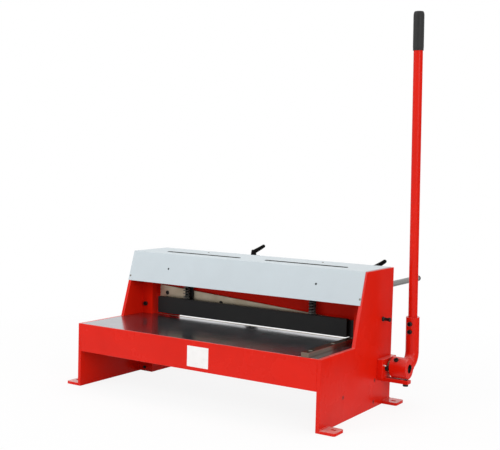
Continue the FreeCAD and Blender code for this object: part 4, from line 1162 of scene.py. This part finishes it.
def clamp_grids(pivot, turn):
    """Threaded stud, waisted hub with a screw in its top, and an arm whose centre line is
    p = (1-s)^2 a + 2 s (1-s) b + s^2 c, its radius falling evenly to a ball."""
    hub_foot = pivot + Z_AXIS * CLAMP_HUB_FOOT
    stud = threaded(pivot, CLAMP_HUB_FOOT + CLAMP_STUD_IN_HUB, CLAMP_STUD_RADIUS,
                    CLAMP_STUD_PITCH)
    height = CLAMP_HUB_HEIGHT
    hub = rounded([(0, 0), (0, 0.0135), (0.002, 0.0145), (height * 0.45, 0.0136),
                   (height, 0.0110), (height, 0.0052), (height - 0.002, 0.0050),
                   (height - 0.002, 0.0)], 0.0050, 8)
    hub = turned(hub, hub_foot, Z_AXIS)
    screw = socket_screw(hub_foot + Z_AXIS * (height - 0.0025), Z_AXIS, 0.0042, 0.0020,
                         0.0024, 0.004)
    outward = np.array([math.cos(turn), math.sin(turn), 0])
    share = np.linspace(0, 1, 48)[:, None]
    start, bend, tip = (hub_foot + Z_AXIS * rise + outward * reach
                        for rise, reach in CLAMP_ARM)
    ball_end = tip + unit(tip - bend) * CLAMP_TIP_RADIUS * 0.98
    path = (1 - share) ** 2 * start + 2 * share * (1 - share) * bend + share ** 2 * ball_end
    run = np.concatenate([[0], np.cumsum(np.linalg.norm(np.diff(path, axis=0), axis=1))])
    left = run[-1] - run
    size = CLAMP_ROOT_RADIUS - (CLAMP_ROOT_RADIUS - CLAMP_TIP_RADIUS) * run / run[-1]
    end = np.clip(left / CLAMP_TIP_RADIUS, 0, 1)
    size = size * np.sqrt(1 - (1 - end) ** 2)
    arm = tube(path, size, Z_AXIS, 40)
    root = np.broadcast_to(start, arm[:1].shape)
    return [stud, hub, screw, np.concatenate([root, arm])]


class SHEAR_OT_springs(bpy.types.Operator):
    """Wind the two hold-down springs on their studs"""
    bl_idname = "shear.springs"
    bl_label = "Springs"

    def execute(self, context):
        studs = []
        for side in ("left", "right"):
            low, high = box("spring_" + side)
            middle = (low + high) / 2
            foot = (middle[0], middle[1], low[2])
            wound = coil(foot, high[2] - low[2], SPRING_MIDDLE_RADIUS, SPRING_WIRE, SPRING_TURNS)
            spring = piece("wound_spring_" + side, [wound], "ram", spring_steel(),
                           ("spring_" + side,))
            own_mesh(spring)
        for low, high in solids("spring_bolts"):
            middle = (low + high) / 2
            foot = np.array([middle[0], middle[1], low[2]])
            seat_radius = (high[0] - low[0]) / 2
            seat_foot = box("hold_down_bar")[1][2]
            nut_foot = box("spring_bracket_right")[1][2] + NUT_GAP
            studs.append(threaded(foot, high[2] - low[2], STUD_RADIUS, STUD_PITCH))
            seat = rounded([(0, 0), (0, seat_radius), (SEAT_THICKNESS, seat_radius),
                            (SEAT_THICKNESS, 0)], 0.0006, 5)
            studs.append(turned(seat, (middle[0], middle[1], seat_foot), Z_AXIS))
            r, h = NUT_CORNER_RADIUS, NUT_HEIGHT
            nut = [(0, 0), (0, r * 0.86), (h * 0.04, r * 0.92, 0.3), (h * 0.12, r, 1),
                   (h * 0.88, r, 1), (h * 0.96, r * 0.92, 0.3), (h, r * 0.86),
                   (h, STUD_RADIUS * 1.12), (h * 0.96, STUD_RADIUS * 0.9), (h * 0.96, 0)]
            studs.append(turned(nut, (middle[0], middle[1], nut_foot), Z_AXIS, sides=72))
        piece("spring_studs", studs, "hold_down", black_oxide(),
              ("spring_bolts",))
        return {"FINISHED"}


class SHEAR_OT_label(bpy.types.Operator):
    """Cut the blank plate on the apron, with round corners"""
    bl_idname = "shear.label"
    bl_label = "Label"

    def execute(self, context):
        low, high = box("label_plate")
        piece("blank_plate", [round_plate(low, high, LABEL_CORNER, LABEL_EDGE)], "frame",
              blank_label(), ("label_plate",))
        return {"FINISHED"}


class SHEAR_OT_stage(bpy.types.Operator):
    """Set up the floor, soft light, background and the photograph's camera"""
    bl_idname = "shear.stage"
    bl_label = "Stage"

    def execute(self, context):
        make_floor()
        make_world()
        make_lamps()
        make_camera()
        return {"FINISHED"}


def make_floor():
    """Large pale floor. To the camera and in gloss it is mostly plain white, more so away
    from the object, and keeps the object's shadow; to all other light it is plain paint."""
    mesh = bpy.data.meshes.new("floor")
    side = FLOOR_HALF
    low = CAD_BOX[0][2] - FLOOR_DROP
    corners = [(-side, -side, low), (side, -side, low), (side, side, low), (-side, side, low)]
    mesh.from_pydata(corners, [], [(0, 1, 2, 3)])
    floor = bpy.data.objects.new("floor", mesh)
    bpy.context.scene.collection.objects.link(floor)
    made = bpy.data.materials.new("floor")
    made.use_nodes = True
    tree = made.node_tree
    tree.nodes.clear()
    position = add(tree, "TexCoord").outputs["Object"]
    away = add(tree, "VectorMath", {0: position}, operation="LENGTH").outputs["Value"]
    share = remap(tree, away, *FLOOR_FADE, FLOOR_WHITE, 1.0)
    seen = maths(tree, "MULTIPLY", seen_directly(tree), share)
    paint = add(tree, "BsdfDiffuse", {"Color": (0.90, 0.90, 0.90, 1)})
    white = add(tree, "Emission", {"Color": (1, 1, 1, 1), "Strength": 1.0})
    both = add(tree, "MixShader", {0: seen, 1: paint.outputs[0], 2: white.outputs[0]})
    add(tree, "OutputMaterial", {"Surface": both.outputs[0]})
    mesh.materials.append(made)


def seen_directly(tree):
    """One for camera, glossy and transmission rays, and nought for the rest."""
    path = add(tree, "LightPath")
    seen = maths(tree, "MAXIMUM", path.outputs["Is Camera Ray"], path.outputs["Is Glossy Ray"])
    return maths(tree, "MAXIMUM", seen, path.outputs["Is Transmission Ray"])


def make_world():
    """White to the camera, to gloss and to glass, and a plain soft light to the rest."""
    world = bpy.data.worlds.new("studio")
    bpy.context.scene.world = world
    world.use_nodes = True
    tree = world.node_tree
    tree.nodes.clear()
    light = add(tree, "Background", {"Color": (1, 1, 1, 1), "Strength": settings().light_level})
    white = add(tree, "Background", {"Color": (1, 1, 1, 1), "Strength": 1.0})
    both = add(tree, "MixShader", {0: seen_directly(tree), 1: light.outputs[0],
                                   2: white.outputs[0]})
    add(tree, "OutputWorld", {"Surface": both.outputs[0]})


def make_lamps():
    """Two large soft lamps in front and one above, all aimed at the table."""
    for name, spot, size, power in LAMPS:
        data = bpy.data.lights.new(name, "AREA")
        data.size = size
        data.energy = power
        lamp = bpy.data.objects.new(name, data)
        lamp.location = spot
        aim = LAMP_TARGET - np.array(spot)
        lamp.rotation_euler = Vector(aim).to_track_quat("-Z", "Y").to_euler()
        bpy.context.scene.collection.objects.link(lamp)


def make_camera():
    """The photograph's camera: a heading, a tilt down and a small roll."""
    heading, down = math.radians(CAMERA_AZIMUTH), math.radians(CAMERA_DOWN)
    roll = math.radians(CAMERA_ROLL)
    forward = np.array([-math.sin(heading) * math.cos(down), math.cos(heading) * math.cos(down),
                        -math.sin(down)])
    level = np.array([math.cos(heading), math.sin(heading), 0.0])
    above = np.cross(level, forward)
    right = level * math.cos(roll) + above * math.sin(roll)
    up = above * math.cos(roll) - level * math.sin(roll)
    turn = Matrix(np.stack([right, up, -forward], 1).tolist())
    data = bpy.data.cameras.new("camera")
    data.sensor_width = SENSOR_WIDTH
    data.lens = FOCAL_PIXELS * SENSOR_WIDTH / PHOTO_WIDTH
    data.clip_end = 200.0
    camera = bpy.data.objects.new("camera", data)
    camera.matrix_world = Matrix.LocRotScale(CAMERA_AT, turn.to_euler(), None)
    bpy.context.scene.collection.objects.link(camera)
    bpy.context.scene.camera = camera
    bpy.context.scene.view_settings.view_transform = "Standard"


OPERATORS = (SHEAR_OT_frame_plates, SHEAR_OT_frame_welds, SHEAR_OT_cover,
             SHEAR_OT_cutting_parts, SHEAR_OT_drive, SHEAR_OT_screws, SHEAR_OT_side_stud,
             SHEAR_OT_grease_nipples, SHEAR_OT_lever_arm, SHEAR_OT_handle,
             SHEAR_OT_back_gauge, SHEAR_OT_springs, SHEAR_OT_label, SHEAR_OT_stage)


class SHEAR_PT_finish(bpy.types.Panel):
    """Lists the shear's pieces and the finish settings"""
    bl_idname = "SHEAR_PT_finish"
    bl_label = "Guillotine Shear"
    bl_space_type = "VIEW_3D"
    bl_region_type = "UI"
    bl_category = "Shear"

    def draw(self, context):
        values = context.scene.shear_finish
        for key in ("red", "cover", "table", "plate_edge", "weld_size", "light_level"):
            self.layout.prop(values, key)
        for operator in OPERATORS:
            self.layout.operator(operator.bl_idname)


CLASSES = (ShearFinish, *OPERATORS, SHEAR_PT_finish)


def register():
    """Register the classes and hang the settings on the scene."""
    for entry in CLASSES:
        bpy.utils.register_class(entry)
    bpy.types.Scene.shear_finish = bpy.props.PointerProperty(type=ShearFinish)


def unregister():
    """Take the settings and the classes away again."""
    del bpy.types.Scene.shear_finish
    for entry in reversed(CLASSES):
        bpy.utils.unregister_class(entry)


def main():
    """Build every piece and the stage."""
    register()
    for operator in OPERATORS:
        getattr(bpy.ops.shear, operator.bl_idname.split(".")[1])()


if __name__ == "__main__":
    main()
